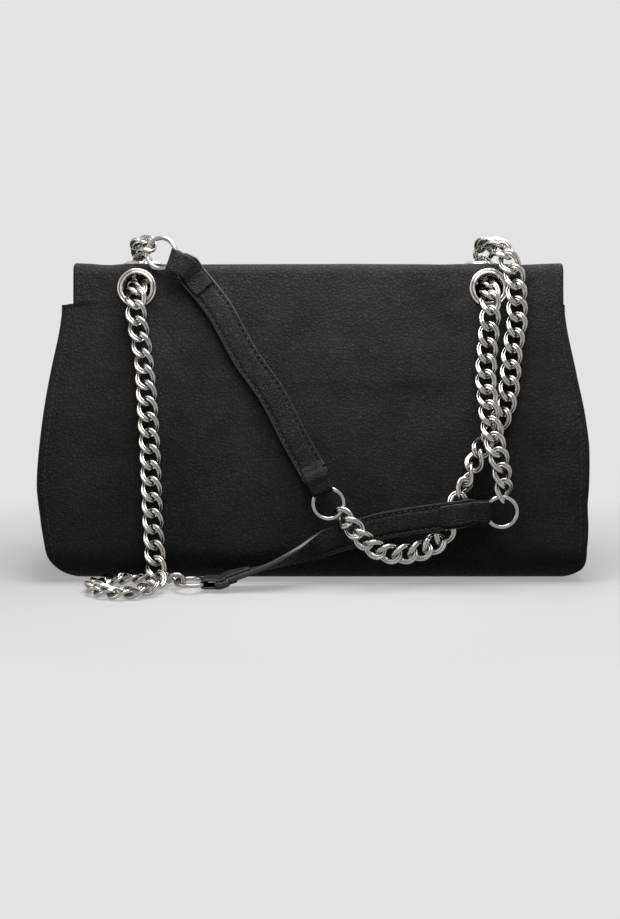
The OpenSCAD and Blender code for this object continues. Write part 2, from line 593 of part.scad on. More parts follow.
// The links next to a ring turn about their length, so that the ring's wire passes them squarely
left_turns = [36, -32];
right_turns = [42, 36];
turned_links = 3;
function turned_share(k) = max(0, 1 - k / turned_links);
module chain(p, first, last, turns) color(silver) for (k = [first:last]) link_between(p[k], p[k + 1],
    turns[0] * turned_share(k) - turns[1] * turned_share(len(p) - 2 - k));
left_count = len(left_joints) - 1;
right_count = len(right_joints) - 1;
function first_inside(p) = [for (k = [0:len(p) - 2])
    if (p[k + 1][1] > back_eye[0] - link_wire && p[k + 1][2] > mouth_z) k][0];
function first_down(p) = [for (k = [first_inside(p):len(p) - 1])
    if (k == len(p) - 1 || (p[k][1] < back_eye[0] && k > first_inside(p) + 3)) k][0];
left_turn = first_inside(left_joints);
right_turn = first_inside(right_joints);
right_down = first_down(right_joints);
module chain_left_fall() chain(left_joints, 0, left_turn - 1, left_turns);
module chain_left_turn() chain(left_joints, left_turn, left_count - 1, left_turns);
module chain_right_fall() chain(right_joints, 0, right_turn - 1, right_turns);
module chain_right_turn() chain(right_joints, right_turn, right_down - 1, right_turns);
module chain_right_drape() chain(right_joints, right_down, right_count - 1, right_turns);

// Rings, and the leather loops that hold them at the ends of the straps
module framed(m, x, z) {
    y = cross(z, x);
    multmatrix([[x[0], y[0], z[0], m[0]], [x[1], y[1], z[1], m[1]], [x[2], y[2], z[2], m[2]],
        [0, 0, 0, 1]]) children();
}
module ring(middle, out, normal) color(silver) framed(place(middle), unit(out), unit(normal))
    rotate_extrude($fn = 64) translate([ring_r, 0]) circle(r = ring_wire / 2, $fn = 24);
module loop(middle, out, normal) color(black) framed(place(middle), unit(out), unit(normal))
    translate([ring_r, 0]) rotate([90, 0, 0]) linear_extrude(loop_w, center = true) difference() {
        union() {
            stadium(loop_hole_r + loop_leather_t);
            translate([0, -loop_leather_t]) square([loop_reach, 2 * loop_leather_t]);
        }
        stadium(loop_hole_r);
    }
module stadium(r) {
    circle(r = r, $fn = 32);
    translate([-loop_slack, -r]) square([loop_slack, 2 * r]);
    translate([-loop_slack, 0]) circle(r = r, $fn = 32);
}
module ribbon(route, steps) {
    d = smooth(route, steps);
    n = len(d) - 1;
    m = len(route) - 1;
    points = [for (i = [0:n]) let(x = unit(i == 0 ? place(route[1]) - place(route[0])
            : i == n ? place(route[m]) - place(route[m - 1]) : place(d[i + 1]) - place(d[i - 1])),
        w = width(d[i]), y = unit(w - (w * x) * x) * strap_w / 2, z = unit(cross(x, y)) * strap_t / 2)
        each [place(d[i]) + y + z, place(d[i]) + y - z, place(d[i]) - y - z, place(d[i]) - y + z]];
    faces = concat([[0, 2, 1], [0, 3, 2], [4 * n, 4 * n + 1, 4 * n + 2], [4 * n, 4 * n + 2, 4 * n + 3]],
        [for (i = [0:n - 1], j = [0:3]) let(a = 4 * i + j, b = 4 * i + (j + 1) % 4) each
            [[a, b, b + 4], [a, b + 4, a + 4]]]);
    color(black) polyhedron(points, faces);
}
module strap_upper() ribbon(strap_upper_route, 2);
module strap_lower() ribbon(strap_lower_route, 2);
module loop_upper_top() loop(upper_top, top_out, top_normal);
module loop_upper_low() loop(upper_low, low_out, deep);
module loop_lower_left() loop(lower_left, across, upright);
module loop_lower_right() loop(lower_right, -across, deep);
module ring_upper_top() ring(upper_top, top_out, top_normal);
module ring_upper_low() ring(upper_low, low_out, deep);
module ring_lower_left() ring(lower_left, across, upright);
module ring_lower_right() ring(lower_right, -across, deep);

back_panel();
front_panel();
gusset_left();
gusset_right();
base_panel();
base_board();
back_facing();
front_facing();
lining_back();
lining_front();
lining_left();
lining_right();
lining_base();
pocket_bag();
zip_tapes();
zip_teeth();
zip_slider();
zip_pull();
flap();
flap_reinforcement();
flap_lining();
snap_cap();
snap_cap_plate();
snap_socket();
snap_magnet();
snap_socket_plate();
eyelet_back_left();
eyelet_back_right();
eyelet_flap_left();
eyelet_flap_right();
washer_back_left();
washer_back_right();
washer_flap_left();
washer_flap_right();
strap_upper();
strap_lower();
loop_upper_top();
loop_upper_low();
loop_lower_left();
loop_lower_right();
ring_upper_top();
ring_upper_low();
ring_lower_left();
ring_lower_right();
chain_left_fall();
chain_left_turn();
chain_right_fall();
chain_right_turn();
chain_right_drape();
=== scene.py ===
import json
from math import acos, atan, atan2, copysign, cos, exp, hypot, pi, radians, sin, sqrt
import random

import bmesh
import bpy
import numpy as np
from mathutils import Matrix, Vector, noise


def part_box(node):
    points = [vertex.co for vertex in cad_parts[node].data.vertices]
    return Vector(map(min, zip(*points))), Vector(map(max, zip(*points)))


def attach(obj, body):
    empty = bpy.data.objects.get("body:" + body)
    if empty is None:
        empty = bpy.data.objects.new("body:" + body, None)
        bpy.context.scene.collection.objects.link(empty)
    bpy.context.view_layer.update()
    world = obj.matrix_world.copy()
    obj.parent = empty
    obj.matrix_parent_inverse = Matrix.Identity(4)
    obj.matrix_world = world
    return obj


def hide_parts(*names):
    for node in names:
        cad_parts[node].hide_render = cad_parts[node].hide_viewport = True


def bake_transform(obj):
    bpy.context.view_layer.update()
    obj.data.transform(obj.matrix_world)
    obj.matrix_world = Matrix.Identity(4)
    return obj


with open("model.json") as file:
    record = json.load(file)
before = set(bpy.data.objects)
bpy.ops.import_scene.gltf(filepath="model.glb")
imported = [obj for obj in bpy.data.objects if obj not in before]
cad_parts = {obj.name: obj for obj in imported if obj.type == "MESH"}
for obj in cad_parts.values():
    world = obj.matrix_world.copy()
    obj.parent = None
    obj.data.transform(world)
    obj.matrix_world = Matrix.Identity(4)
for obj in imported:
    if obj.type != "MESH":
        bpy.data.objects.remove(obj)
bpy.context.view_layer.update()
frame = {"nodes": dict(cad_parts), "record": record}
rng = random.Random(7)

# Driving sizes in millimetres, as in the solids
MM = 0.001
bag_w = 280.0
bag_h = 163.0
base_d = 90.0
mouth_d = 56.0
edge_r = 20.0
leather_t = 1.8
lining_t = 0.7
facing_t = 1.2
flap_w = 245.0
flap_low = 38.0
flap_corner_r = 36.0
stiffener_t = 0.8
eyelet_x = 89.5
eyelet_drop = 12.5
eyelet_front = 6.0
eyelet_bore = 14.0
eyelet_d = 20.0
barrel_t = 0.7
washer_t = 0.6
link_len = 13.85
link_w = 11.6
link_wire = 2.5
link_pitch = 8.2
link_twist = -45.0
strap_w = 14.0
strap_t = 3.0
loop_w = 10.8
ring_d = 17.7
ring_wire = 2.2
socket_h = 2.4
cap_h = 1.0
snap_z = 62.0
snap_d = 18.0
zip_l = 150.0
zip_z = 112.0
air = 0.1
run = 0.3

# Camera, fitted to the photograph: place in millimetres, pitch in degrees, lens in pixels
CAMERA_PLACE = (-1.5, -880.0, 215.0)
CAMERA_PITCH = 10.16
CAMERA_FOCUS_PX = 1677.9
PHOTO_H = 919
SENSOR = 36.0

# Studio: tones as linear values, the floor just under the bag in metres
BACKGROUND = 0.768
FLOOR_TONE = 0.45
FLOOR_BOUNCE = 0.1
WORLD_LIGHT = 0.07
FLOOR_Z = -0.00005
FLOOR_HALF = 8

# Softness and finish of the sheets, in millimetres
EDGE_CALM = 14          # hollows fade out over this width towards a sheet's side edges
SPREAD = 0.94           # share of a half turn whose sine spaces the columns, closer at the sides
BODY_ROLL = 3.0         # radius by which the outer leather rolls in at the sides of the body
FLAP_ROLL = 1.4         # and at the sides of the flap
NOTCH = 0.4             # opening in the sides, where the sheet changes from the back's width to the flap's
CUT_ROUNDING = 0.42     # rounding of a cut edge, as a share of the thickness
PUNCH_DEPTH = 6         # a punched hole reaches this far along its axis
RIM_REACH = 5           # and draws rim points from this far outside its circle
BODY_SEAM_IN = 4.3      # seams lie this far inside the edges
FLAP_SEAM_IN = 3.2
THREAD_OUT = 0.12       # and the thread stands out by this much

# Kinds of thread: pitch of the stitches, gap between them, thickness
SEAM_THREAD = (3.2, 0.7, 0.42)
STRAP_THREAD = (3.2, 0.8, 0.6)
TAB_THREAD = (2.6, 0.6, 0.4)


def make_camera():
    data = bpy.data.cameras.new("camera")
    data.sensor_fit = "AUTO"
    data.sensor_width = SENSOR
    data.lens = CAMERA_FOCUS_PX / PHOTO_H * SENSOR
    data.clip_start = 0.01
    data.clip_end = 50
    camera = bpy.data.objects.new("camera", data)
    camera.location = [c * MM for c in CAMERA_PLACE]
    camera.rotation_euler = (radians(90 - CAMERA_PITCH), 0, 0)
    bpy.context.collection.objects.link(camera)
    bpy.context.scene.camera = camera


bpy.context.scene.view_settings.view_transform = "Standard"
make_camera()


# Vectors and curves
def vec(*v):
    return np.array(v, float)


across = vec(1, 0, 0)
deep = vec(0, 1, 0)
upright = vec(0, 0, 1)


def unit(v):
    v = np.asarray(v, float)
    return v / np.linalg.norm(v, axis=-1, keepdims=True)


def clamp(t):
    return min(1, max(0, t))


def spline_at(p, i, t):
    a, b, c, d = p[max(i - 1, 0)], p[i], p[i + 1], p[min(i + 2, len(p) - 1)]
    return 0.5 * (2 * b + (c - a) * t + (2 * a - 5 * b + 4 * c - d) * t * t
                  + (3 * b - a - 3 * c + d) * t ** 3)


def smooth(p, n):
    """A smooth line through points, with n steps from each to the next."""
    p = [np.asarray(q, float) for q in p]
    out = [spline_at(p, i, k / n) for i in range(len(p) - 1) for k in range(n)]
    return np.array(out + [p[-1]])


def lengths(p):
    """Distance of each point of a line from its start, along the line."""
    return np.concatenate([[0], np.cumsum(np.linalg.norm(np.diff(p, axis=0), axis=1))])


def line_at(p, s, where):
    """The points at the distances where, on a line whose own points p lie at the distances s."""
    return np.array([np.interp(where, s, column) for column in p.T]).T


def even_steps(p, s, n):
    return line_at(p, s, np.linspace(0, s[-1], n + 1))


def resample(p, step):
    s = lengths(p)
    return even_steps(p, s, max(2, int(round(s[-1] / step))))


def full_turn(n):
    """n even angles round a circle."""
    return np.linspace(0, 2 * pi, n, endpoint=False)


def normals_of(p):
    """Normals of a flat line, on the left of its direction."""
    t = unit(np.gradient(p, axis=0))
    return np.column_stack([-t[:, 1], t[:, 0]])


def stations(profile, step):
    """Places at even steps along a side view, each with its normal."""
    p = resample(profile, step)
    return list(zip(p, normals_of(p)))


def fillet(a, k, b, r, n):
    """Points of the arc of radius r that rounds the corner k between a and b."""
    u, v = unit(a - k), unit(b - k)
    half = acos(float(u @ v)) / 2
    m = unit(u + v)
    c = k + m * r / sin(half)
    side = np.sign(u[0] * v[1] - u[1] * v[0])
    out = []
    for i in range(n + 1):
        w = (0.5 - i / n) * (pi - 2 * half) * side
        out.append(c - r * vec(m[0] * cos(w) - m[1] * sin(w), m[0] * sin(w) + m[1] * cos(w)))
    return out


# Side view of the panels
mouth_z = 0.847 * bag_h
front_z = 0.82 * bag_h
lean = (base_d - mouth_d) / 2
lean_power = 1.4
lean_slope = lean * lean_power / (mouth_z - edge_r)
base_y = base_d / 2 - edge_r
flap_gap = socket_h + cap_h + run
flap_layers = leather_t + stiffener_t + lining_t + 2 * air
flap_out = flap_gap + flap_layers
facing_in = leather_t + air
back_stack = facing_in + facing_t
lining_in = back_stack + air


def depth_at(z):
    """Distance of the back and front panels from the middle plane."""
    if z < edge_r:
        return base_y + sqrt(max(edge_r ** 2 - (edge_r - z) ** 2, 0))
    if z < mouth_z:
        return base_d / 2 - lean * ((z - edge_r) / (mouth_z - edge_r)) ** lean_power
    return mouth_d / 2 - lean_slope * (z - mouth_z)


def slope_at(z):
    return (depth_at(z - 1) - depth_at(z + 1)) / 2


def round_edge(middle, n=10):
    angles = np.linspace(0, pi / 2, n, endpoint=False)
    return [vec(middle + edge_r * sin(a), edge_r * (1 - cos(a))) for a in angles]


def panel_side(top, n=32):
    return round_edge(base_y) + [vec(depth_at(z), z) for z in np.linspace(edge_r, top, n)]


top_back = vec(-depth_at(bag_h), bag_h)
front_top_z = 0.97 * bag_h
top_front = vec(depth_at(front_top_z) + flap_out, front_top_z)
hinge_y = -0.27 * mouth_d


def top_at(y):
    return top_back + (top_front - top_back) * (y - top_back[0]) / (top_front[0] - top_back[0])


hinge = top_at(hinge_y)
top_tilt = atan((top_back[1] - top_front[1]) / (top_front[0] - top_back[0]))
back_profile = np.array([[-p[0], p[1]] for p in panel_side(mouth_z)]
                        + fillet(vec(-depth_at(mouth_z), mouth_z), top_back, top_front, 5, 8)
                        + [hinge])
flap_profile = np.array([hinge] + fillet(hinge, top_front, vec(depth_at(front_z) + flap_out, front_z), 12, 12)
                        + [vec(depth_at(z) + flap_out, z) for z in np.linspace(front_z, flap_low, 24)])
front_profile = np.array(panel_side(front_z))
side_shares = [(0.982, 0.123), (0.997, 0.22), (1, 0.34), (0.98, 0.5), (0.948, 0.65), (0.915, 0.78),
               (0.903, 0.847)]
base_x = side_shares[0][0] * bag_w / 2 - edge_r
side_profile = np.array(round_edge(base_x) + list(smooth(
    [vec(s * bag_w / 2, edge_r if i == 0 else h * bag_h) for i, (s, h) in enumerate(side_shares)], 6)))


def side_x(z):
    return float(np.interp(z, side_profile[:, 1], side_profile[:, 0]))


def flap_half_width(z):
    rise = flap_low + flap_corner_r - z
    if rise <= 0:
        return flap_w / 2
    return flap_w / 2 - flap_corner_r + sqrt(max(flap_corner_r ** 2 - rise ** 2, 0))


# The stuffed body in the photograph leans a little to the right: how far its sides stand outside
# the solid's, in millimetres, by height
right_gain = ((0, 3.4, 6.4, 9.5, 12.5, 17, 22, 30, 36, 42, 54, 66, 73, 91, 105, 142),
              (9, 8, 7.6, 6.0, 4.6, 3.2, 3.0, 2.0, 1.0, 0.4, 1.0, 2.0, 2.5, 2.4, 2.0, 2.0))
left_gain = ((0, 36, 50, 80, 100, 142), (0, 0, 0.9, 1.1, 1.5, 1.6))
flap_gain = {1: 5.0, -1: -0.5}
gain_from = 0.82
gain_over = 0.15
notch_z = mouth_z + 4


def widen(x, z, on_flap=False):
    """Moves what lies near a side of the bag outwards, as far as that side stands proud there."""
    side = 1 if x > 0 else -1
    half = flap_w / 2 if on_flap else side_x(z)
    share = clamp((abs(x) / half - gain_from) / gain_over)
    gain = flap_gain[side] if on_flap else float(np.interp(z, *(right_gain if side > 0 else left_gain)))
    return x + side * gain * share * share * (3 - 2 * share)


# Softness of the leather: slow hollows that every layer of a wall shares, in millimetres
def waves(x, z, wide, high, seed):
    """Smooth waves between 0 and 1, about so wide and high."""
    return 0.5 + 0.5 * noise.noise(Vector((x / wide, z / high, seed)))


def calm(x, z, places, reach):
    """0 near any of the places, 1 well away from them."""
    out = 1.0
    for x0, z0 in places:
        d = hypot(x - x0, z - z0) / reach
        out *= 1 - exp(-d ** 4)
    return out


eye_z = bag_h - eyelet_drop
eyes = [(-eyelet_x, eye_z), (eyelet_x, eye_z)]


def back_hollow(x, z):
    """How far the back sinks inwards: not at the zip or the eyelets, round which it puckers in rays."""
    pucker = 0
    for x0, z0 in eyes:
        d = hypot(x - x0, z - z0)
        ray = atan2(z - z0, x - x0)
        pucker += exp(-((d - 20) / 11) ** 2) * (0.5 + 0.5 * sin(9 * ray + x0))
    zip_calm = 1 - exp(-(max(abs(z - zip_z) - 6, 0) / 7) ** 2) if abs(x) < zip_l / 2 + 8 else 1
    soft = waves(x, z, 55, 42, 3.1) + 0.22 * waves(x, z, 17, 13, 9.7)
    return clamp((z - 8) / 25) * calm(x, z, eyes, 12) * (zip_calm * soft + 0.4 * pucker)


def front_hollow(x, z):
    """How far the front and the flap over it sink inwards: not at the snap or the upper edge."""
    soft = 0.9 * waves(x, z, 60, 45, 21.3) + 0.2 * waves(x, z, 19, 15, 5.2)
    return clamp((z - 8) / 25) * clamp((front_z + 14 - z) / 20) * calm(x, z, [(0, snap_z)], 14) * soft


def flap_wall(y, z):
    """Half width of the top or flap there, and the hollow that its layers follow."""
    if y > mouth_d / 3:
        return flap_half_width(z), front_hollow
    return flap_w / 2, back_hollow


# Materials. Colours are linear
def put(tree, value, socket):
    """Links another node's socket to this one, or sets a plain value."""
    if isinstance(value, bpy.types.NodeSocket):
        tree.links.new(value, socket)
    else:
        socket.default_value = value


def fill(tree, node, named):
    """Sets properties and inputs of a node by name, with _ for each space in an input's name."""
    for key, value in named.items():
        if hasattr(node, key):
            setattr(node, key, value)
        else:
            put(tree, value, node.inputs[key.replace("_", " ")])


def add(tree, kind, *values, **named):
    """Adds a node. Plain values and links go to its first inputs, the named ones where fill puts them."""
    node = tree.nodes.new(kind)
    fill(tree, node, named)
    for value, socket in zip(values, node.inputs):
        put(tree, value, socket)
    return node


def new_material(name):
    material = bpy.data.materials.new(name)
    material.use_nodes = True
    return material, material.node_tree


def set_shader(tree, **named):
    shader = tree.nodes["Principled BSDF"]
    fill(tree, shader, named)
    return shader


def place_node(tree):
    return add(tree, "ShaderNodeTexCoord").outputs["Object"]


def noise_node(tree, where, scale, detail, rough=0.55):
    node = add(tree, "ShaderNodeTexNoise", Vector=where, Scale=scale, Detail=detail, Roughness=rough)
    return node.outputs["Fac"]


def wave_node(tree, where, scale, distortion):
    node = add(tree, "ShaderNodeTexWave", Vector=where, Scale=scale, Distortion=distortion,
               bands_direction="DIAGONAL")
    return node.outputs["Fac"]


def ramp_node(tree, value, low, high, dark, light):
    node = add(tree, "ShaderNodeValToRGB", value)
    for element, position, colour in zip(node.color_ramp.elements, (low, high), (dark, light)):
        element.position = position
        element.color = colour
    return node.outputs["Color"]


def math_node(tree, what, a, b):
    return add(tree, "ShaderNodeMath", a, b, operation=what).outputs[0]


def vector_node(tree, what, *values, **named):
    return add(tree, "ShaderNodeVectorMath", *values, operation=what, **named).outputs


def mix_colour(tree, factor, a, b):
    node = add(tree, "ShaderNodeMix", factor, data_type="RGBA")
    for value, socket in zip((a, b), [s for s in node.inputs if s.type == "RGBA"]):
        put(tree, value, socket)
    return [s for s in node.outputs if s.type == "RGBA"][0]


def bump_node(tree, height, distance, strength, **below):
    node = add(tree, "ShaderNodeBump", Height=height, Distance=distance, Strength=strength, **below)
    return node.outputs["Normal"]


def map_range(tree, value, low, high, to_low, to_high):
    return add(tree, "ShaderNodeMapRange", value, low, high, to_low, to_high).outputs["Result"]


def grey(tone):
    return (tone, tone, tone, 1)


def leather_material(name, dark, light, pebble, depth, painted_highlight):
    """Pebbled leather. pebble is the size of one grain and depth its height, in millimetres. The last
    argument is how much paler the tallest grains are painted: a painted highlight on the grain tips."""
    material, tree = new_material(name)
    where = place_node(tree)
    wander = add(tree, "ShaderNodeTexNoise", Vector=where, Scale=1 / (pebble * 2.2 * MM), Detail=2.0)
    shift = vector_node(tree, "SCALE", wander.outputs["Color"], Scale=pebble * 0.9 * MM)[0]
    cells = add(tree, "ShaderNodeTexVoronoi", feature="DISTANCE_TO_EDGE", Scale=1 / (pebble * MM),
                Vector=vector_node(tree, "ADD", where, shift)[0])
    crease = math_node(tree, "POWER", map_range(tree, cells.outputs["Distance"], 0.0, 0.3, 0.0, 1.0), 0.6)
    slow = noise_node(tree, where, 38.0, 3.0)
    fine = noise_node(tree, where, 2600.0, 2.0)
    mid = noise_node(tree, where, 210.0, 3.0)
    speck = noise_node(tree, where, 520.0, 2.0)
    tone = mix_colour(tree, map_range(tree, slow, 0.3, 0.7, 0.0, 1.0), dark, light)
    # Painted highlight: the tallest grains, picked at random, are painted paler, up to 2.4 times the light
    # tone.
    highlight_mask = math_node(tree, "MULTIPLY", crease, map_range(tree, speck, 0.5, 0.75, 0.0, painted_highlight))
    tone = mix_colour(tree, highlight_mask, tone, tuple(2.4 * c for c in light[:3]) + (1,))
    # Painted shade: the creases between the grains are darkened towards near black.
    tone = mix_colour(tree, map_range(tree, crease, 0.0, 1.0, 0.35, 0.0), tone, grey(0.003))
    gloss = math_node(tree, "ADD", map_range(tree, mid, 0.3, 0.7, 0.46, 0.64),
                      map_range(tree, crease, 0.0, 1.0, 0.16, 0.0))
    relief = bump_node(tree, mid, 0.0009, 0.35)
    relief = bump_node(tree, crease, depth * MM, 0.8, Normal=relief)
    relief = bump_node(tree, fine, 0.00004, 0.5, Normal=relief)
    set_shader(tree, Base_Color=tone, Roughness=gloss, Specular_IOR_Level=0.05, Normal=relief)
    return material


def edge_paint_material():
    material, tree = new_material("edge_paint")
    wear = noise_node(tree, place_node(tree), 900.0, 3.0)
    set_shader(tree, Base_Color=ramp_node(tree, wear, 0.35, 0.75, grey(0.006), (0.022, 0.021, 0.02, 1)),
               Roughness=map_range(tree, wear, 0.3, 0.7, 0.28, 0.45),
               Normal=bump_node(tree, wear, 0.00008, 0.6))
    return material


def thread_material():
    material, tree = new_material("thread")
    ply = wave_node(tree, place_node(tree), 900.0, 1.5)
    set_shader(tree, Base_Color=ramp_node(tree, ply, 0.1, 0.9, grey(0.0025), (0.009, 0.0088, 0.0086, 1)),
               Roughness=0.6, Normal=bump_node(tree, ply, 0.00012, 0.8))
    return material


def twill_material(name, dark, light, size):
    """Diagonal twill cloth. size is the width of one rib in millimetres."""
    material, tree = new_material(name)
    where = place_node(tree)
    ribs = wave_node(tree, where, 1 / (2 * size * MM), 0.6)
    weft = noise_node(tree, where, 1800.0, 2.0)
    slow = noise_node(tree, where, 30.0, 3.0)
    both = math_node(tree, "ADD", math_node(tree, "MULTIPLY", ribs, 0.7),
                     math_node(tree, "MULTIPLY", weft, 0.45))
    tone = mix_colour(tree, map_range(tree, both, 0.2, 1.0, 0.0, 1.0), dark, light)
    tone = mix_colour(tree, map_range(tree, slow, 0.35, 0.65, 0.0, 0.25), tone, dark)
    set_shader(tree, Base_Color=tone, Roughness=0.85, Specular_IOR_Level=0.2, Sheen_Weight=0.25,
               Normal=bump_node(tree, both, 0.00018, 0.7))
    return material


def metal_material(name, dark, light, rough, groove_shade):
    """Polished nickel with fine scratches and duller patches, and painted shade in its grooves and hollows;
    the last argument is how dark that painted shade is.
    """
    material, tree = new_material(name)
    where = place_node(tree)
    patch = noise_node(tree, where, 260.0, 4.0)
    grain = noise_node(tree, where, 5200.0, 3.0)
    bend = add(tree, "ShaderNodeNewGeometry").outputs["Pointiness"]
    tone = mix_colour(tree, map_range(tree, patch, 0.3, 0.7, 0.0, 1.0), dark, light)
    # Painted shade: hollow places, found by pointiness, are darkened towards near black.
    tone = mix_colour(tree, map_range(tree, bend, 0.44, 0.52, groove_shade, 0.0), tone, (0.05, 0.045, 0.04, 1))
    set_shader(tree, Base_Color=tone, Metallic=1.0,
               Roughness=map_range(tree, patch, 0.25, 0.75, rough * 0.7, rough * 1.6),
               Normal=bump_node(tree, grain, 0.00002, 0.5))
    return material


def board_material(name, dark, light):
    material, tree = new_material(name)
    fibres = noise_node(tree, place_node(tree), 700.0, 6.0, 0.7)
    set_shader(tree, Base_Color=ramp_node(tree, fibres, 0.3, 0.7, dark, light), Roughness=0.9,
               Normal=bump_node(tree, fibres, 0.00015, 0.6))
    return material


edge_paint = edge_paint_material()
thread = thread_material()

# The material of each slot in the record
looks = {
    "leather": leather_material("pebbled_leather", (0.017, 0.0167, 0.0165, 1), (0.028, 0.027, 0.0261, 1),
                                pebble=2.0, depth=0.27, painted_highlight=0.25),
    "strap_leather": leather_material("strap_leather", (0.021, 0.0206, 0.0203, 1),
                                      (0.032, 0.0309, 0.0298, 1), pebble=1.5, depth=0.34, painted_highlight=0.7),
    "lining": twill_material("lining_twill", (0.045, 0.043, 0.041, 1), (0.13, 0.125, 0.12, 1), 0.5),
    "tape": twill_material("zip_tape_weave", (0.02, 0.02, 0.021, 1), (0.06, 0.06, 0.062, 1), 0.4),
    "chain_metal": metal_material("chain_nickel", (0.34, 0.318, 0.298, 1), (0.48, 0.453, 0.427, 1),
                                  rough=0.13, groove_shade=0.9),
    "fitting_metal": metal_material("fitting_nickel", (0.48, 0.452, 0.425, 1), (0.62, 0.59, 0.56, 1),
                                    rough=0.15, groove_shade=0.6),
    "magnet": board_material("magnet_ferrite", (0.02, 0.02, 0.022, 1), (0.05, 0.05, 0.053, 1)),
    "board": board_material("pressed_board", (0.16, 0.14, 0.12, 1), (0.32, 0.29, 0.25, 1))}


# Meshes and pieces
def new_object(name, bm, material):
    bm.normal_update()
    for f in bm.faces:
        f.smooth = True
    mesh = bpy.data.meshes.new(name)
    bm.to_mesh(mesh)
    bm.free()
    mesh.materials.append(material)
    obj = bpy.data.objects.new(name, mesh)
    bpy.context.collection.objects.link(obj)
    return obj


def add_piece(name, bm, slot, body, *nodes):
    """A piece that stands for CAD nodes. A body of None is for a piece that lies across two bodies, and
    leaves it unattached.
    """
    piece = new_object(name, bm, looks[slot])
    if body:
        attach(piece, body)
    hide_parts(*nodes)
    return piece


def add_bevel(obj, name, width, segments, angle):
    """Rounds the edges whose faces meet at more than the angle, in degrees."""
    bevel = obj.modifiers.new(name, "BEVEL")
    bevel.width = width * MM
    bevel.segments = segments
    bevel.limit_method = "ANGLE"
    bevel.angle_limit = radians(angle)


def add_sheet(name, bm, t, slot, body, *nodes):
    """A sheet of leather or cloth, t thick inwards from its faces, with rounded cut edges."""
    piece = add_piece(name, bm, slot, body, *nodes)
    solid = piece.modifiers.new("thickness", "SOLIDIFY")
    solid.thickness = t * MM
    solid.offset = -1
    solid.use_even_offset = False
    add_bevel(piece, "cut_edges", CUT_ROUNDING * t, 3, 60)
    return piece


def grid_mesh(rows, flip=False, holes=()):
    """A bmesh of quads from rows of points in millimetres, all rows of one length. Each hole is a
    centre, an axis and a radius."""
    bm = bmesh.new()
    made = [[bm.verts.new(Vector(p) * MM) for p in row] for row in rows]
    for a, b in zip(made, made[1:]):
        for i in range(len(a) - 1):
            quad = (a[i], a[i + 1], b[i + 1], b[i])
            bm.faces.new(quad[::-1] if flip else quad)
    for hole in holes:
        punch(bm, *hole)
    return bm


def cut_faces(bm, inside):
    """Takes out the faces whose middle is inside, and gives the points along the sheet's edges."""
    gone = [f for f in bm.faces if inside(f.calc_center_median() / MM)]
    bmesh.ops.delete(bm, geom=gone, context="FACES")
    return [v for e in bm.edges if len(e.link_faces) == 1 for v in e.verts]


def punch(bm, centre, axis, r):
    """Opens a round hole: faces inside go, and the new rim is drawn to the circle."""
    centre, axis = Vector(centre), Vector(axis).normalized()

    def from_axis(place, reach):
        """The way from the axis to a place, or None where it is out of reach."""
        d = place - centre
        along = d.dot(axis)
        aside = d - axis * along
        return aside if aside.length < reach and abs(along) < PUNCH_DEPTH else None

    for v in cut_faces(bm, lambda place: from_axis(place, r) is not None):
        aside = from_axis(v.co / MM, r + RIM_REACH)
        if aside is not None:
            v.co += aside.normalized() * (r - aside.length) * MM


def add_tube(bm, rows, closed=False):
    """Joins rows of points into a tube. Its ends meet if it is closed, and are capped otherwise. Gives
    the faces of its side, row by row."""
    rings = [[bm.verts.new(Vector(p) * MM) for p in row] for row in rows]
    faces = []
    for a, b in zip(rings, rings[1:] + rings[:1] if closed else rings[1:]):
        for j in range(len(a)):
            k = (j + 1) % len(a)
            faces.append(bm.faces.new((a[j], a[k], b[k], b[j])))
    if not closed:
        bm.faces.new(rings[0][::-1])
        bm.faces.new(rings[-1])
    return faces


def face_outwards(bm):
    bmesh.ops.recalc_face_normals(bm, faces=bm.faces)
    return bm


# Walls: rows of points across, which sink inwards with the hollows
def wall_row(place, inward, half, columns, hollow, near=0.0, roll_r=0.0, on_flap=False):
    """Points across a wall, near mm inside the outer face at a place of its side view. roll_r rolls
    the sides in and draws the columns closer together there."""
    row = []
    for j in range(columns + 1):
        if roll_r:
            x = half * sin(pi * (j / columns - 0.5) * SPREAD) / sin(pi * SPREAD / 2)
        else:
            x = half * (2 * j / columns - 1)
        edge = half - abs(x)
        roll = roll_r - sqrt(max(roll_r ** 2 - (roll_r - edge) ** 2, 0)) if edge < roll_r else 0
        sink = near + hollow(x, place[1]) * min(1, edge / EDGE_CALM) + roll
        row.append((widen(x, place[1], on_flap), *(place + inward * sink)))
    return row


def wall_rows(profile, inward, half_at, hollow, step, columns, low=0.0, top=bag_h, **more):
    """Rows of a layer between two heights of a side view. inward is 1 where the side view's normals
    point into the bag and -1 where they point out of it."""
    return [wall_row(place, inward * normal, half_at(place[1]), columns, hollow, **more)
            for place, normal in stations(profile, step) if low <= place[1] <= top]


# Outer leather: one sheet from the bottom of the back, over the top, to the flap's lower edge
def eye_axes():
    """Centres and axes of the four eyelets: two in the back, two in the top."""
    tilt = atan(lean_slope)
    back_axis = (0, -cos(tilt), sin(tilt))
    top_axis = (0, sin(top_tilt), cos(top_tilt))
    y, z = top_at(eyelet_front)
    return [(vec(s * eyelet_x, -depth_at(eye_z), eye_z), back_axis) for s in (-1, 1)], \
        [(vec(s * eyelet_x, y, z), top_axis) for s in (-1, 1)]


back_eyes, top_eyes = eye_axes()
hole_r = eyelet_bore / 2 + 0.9


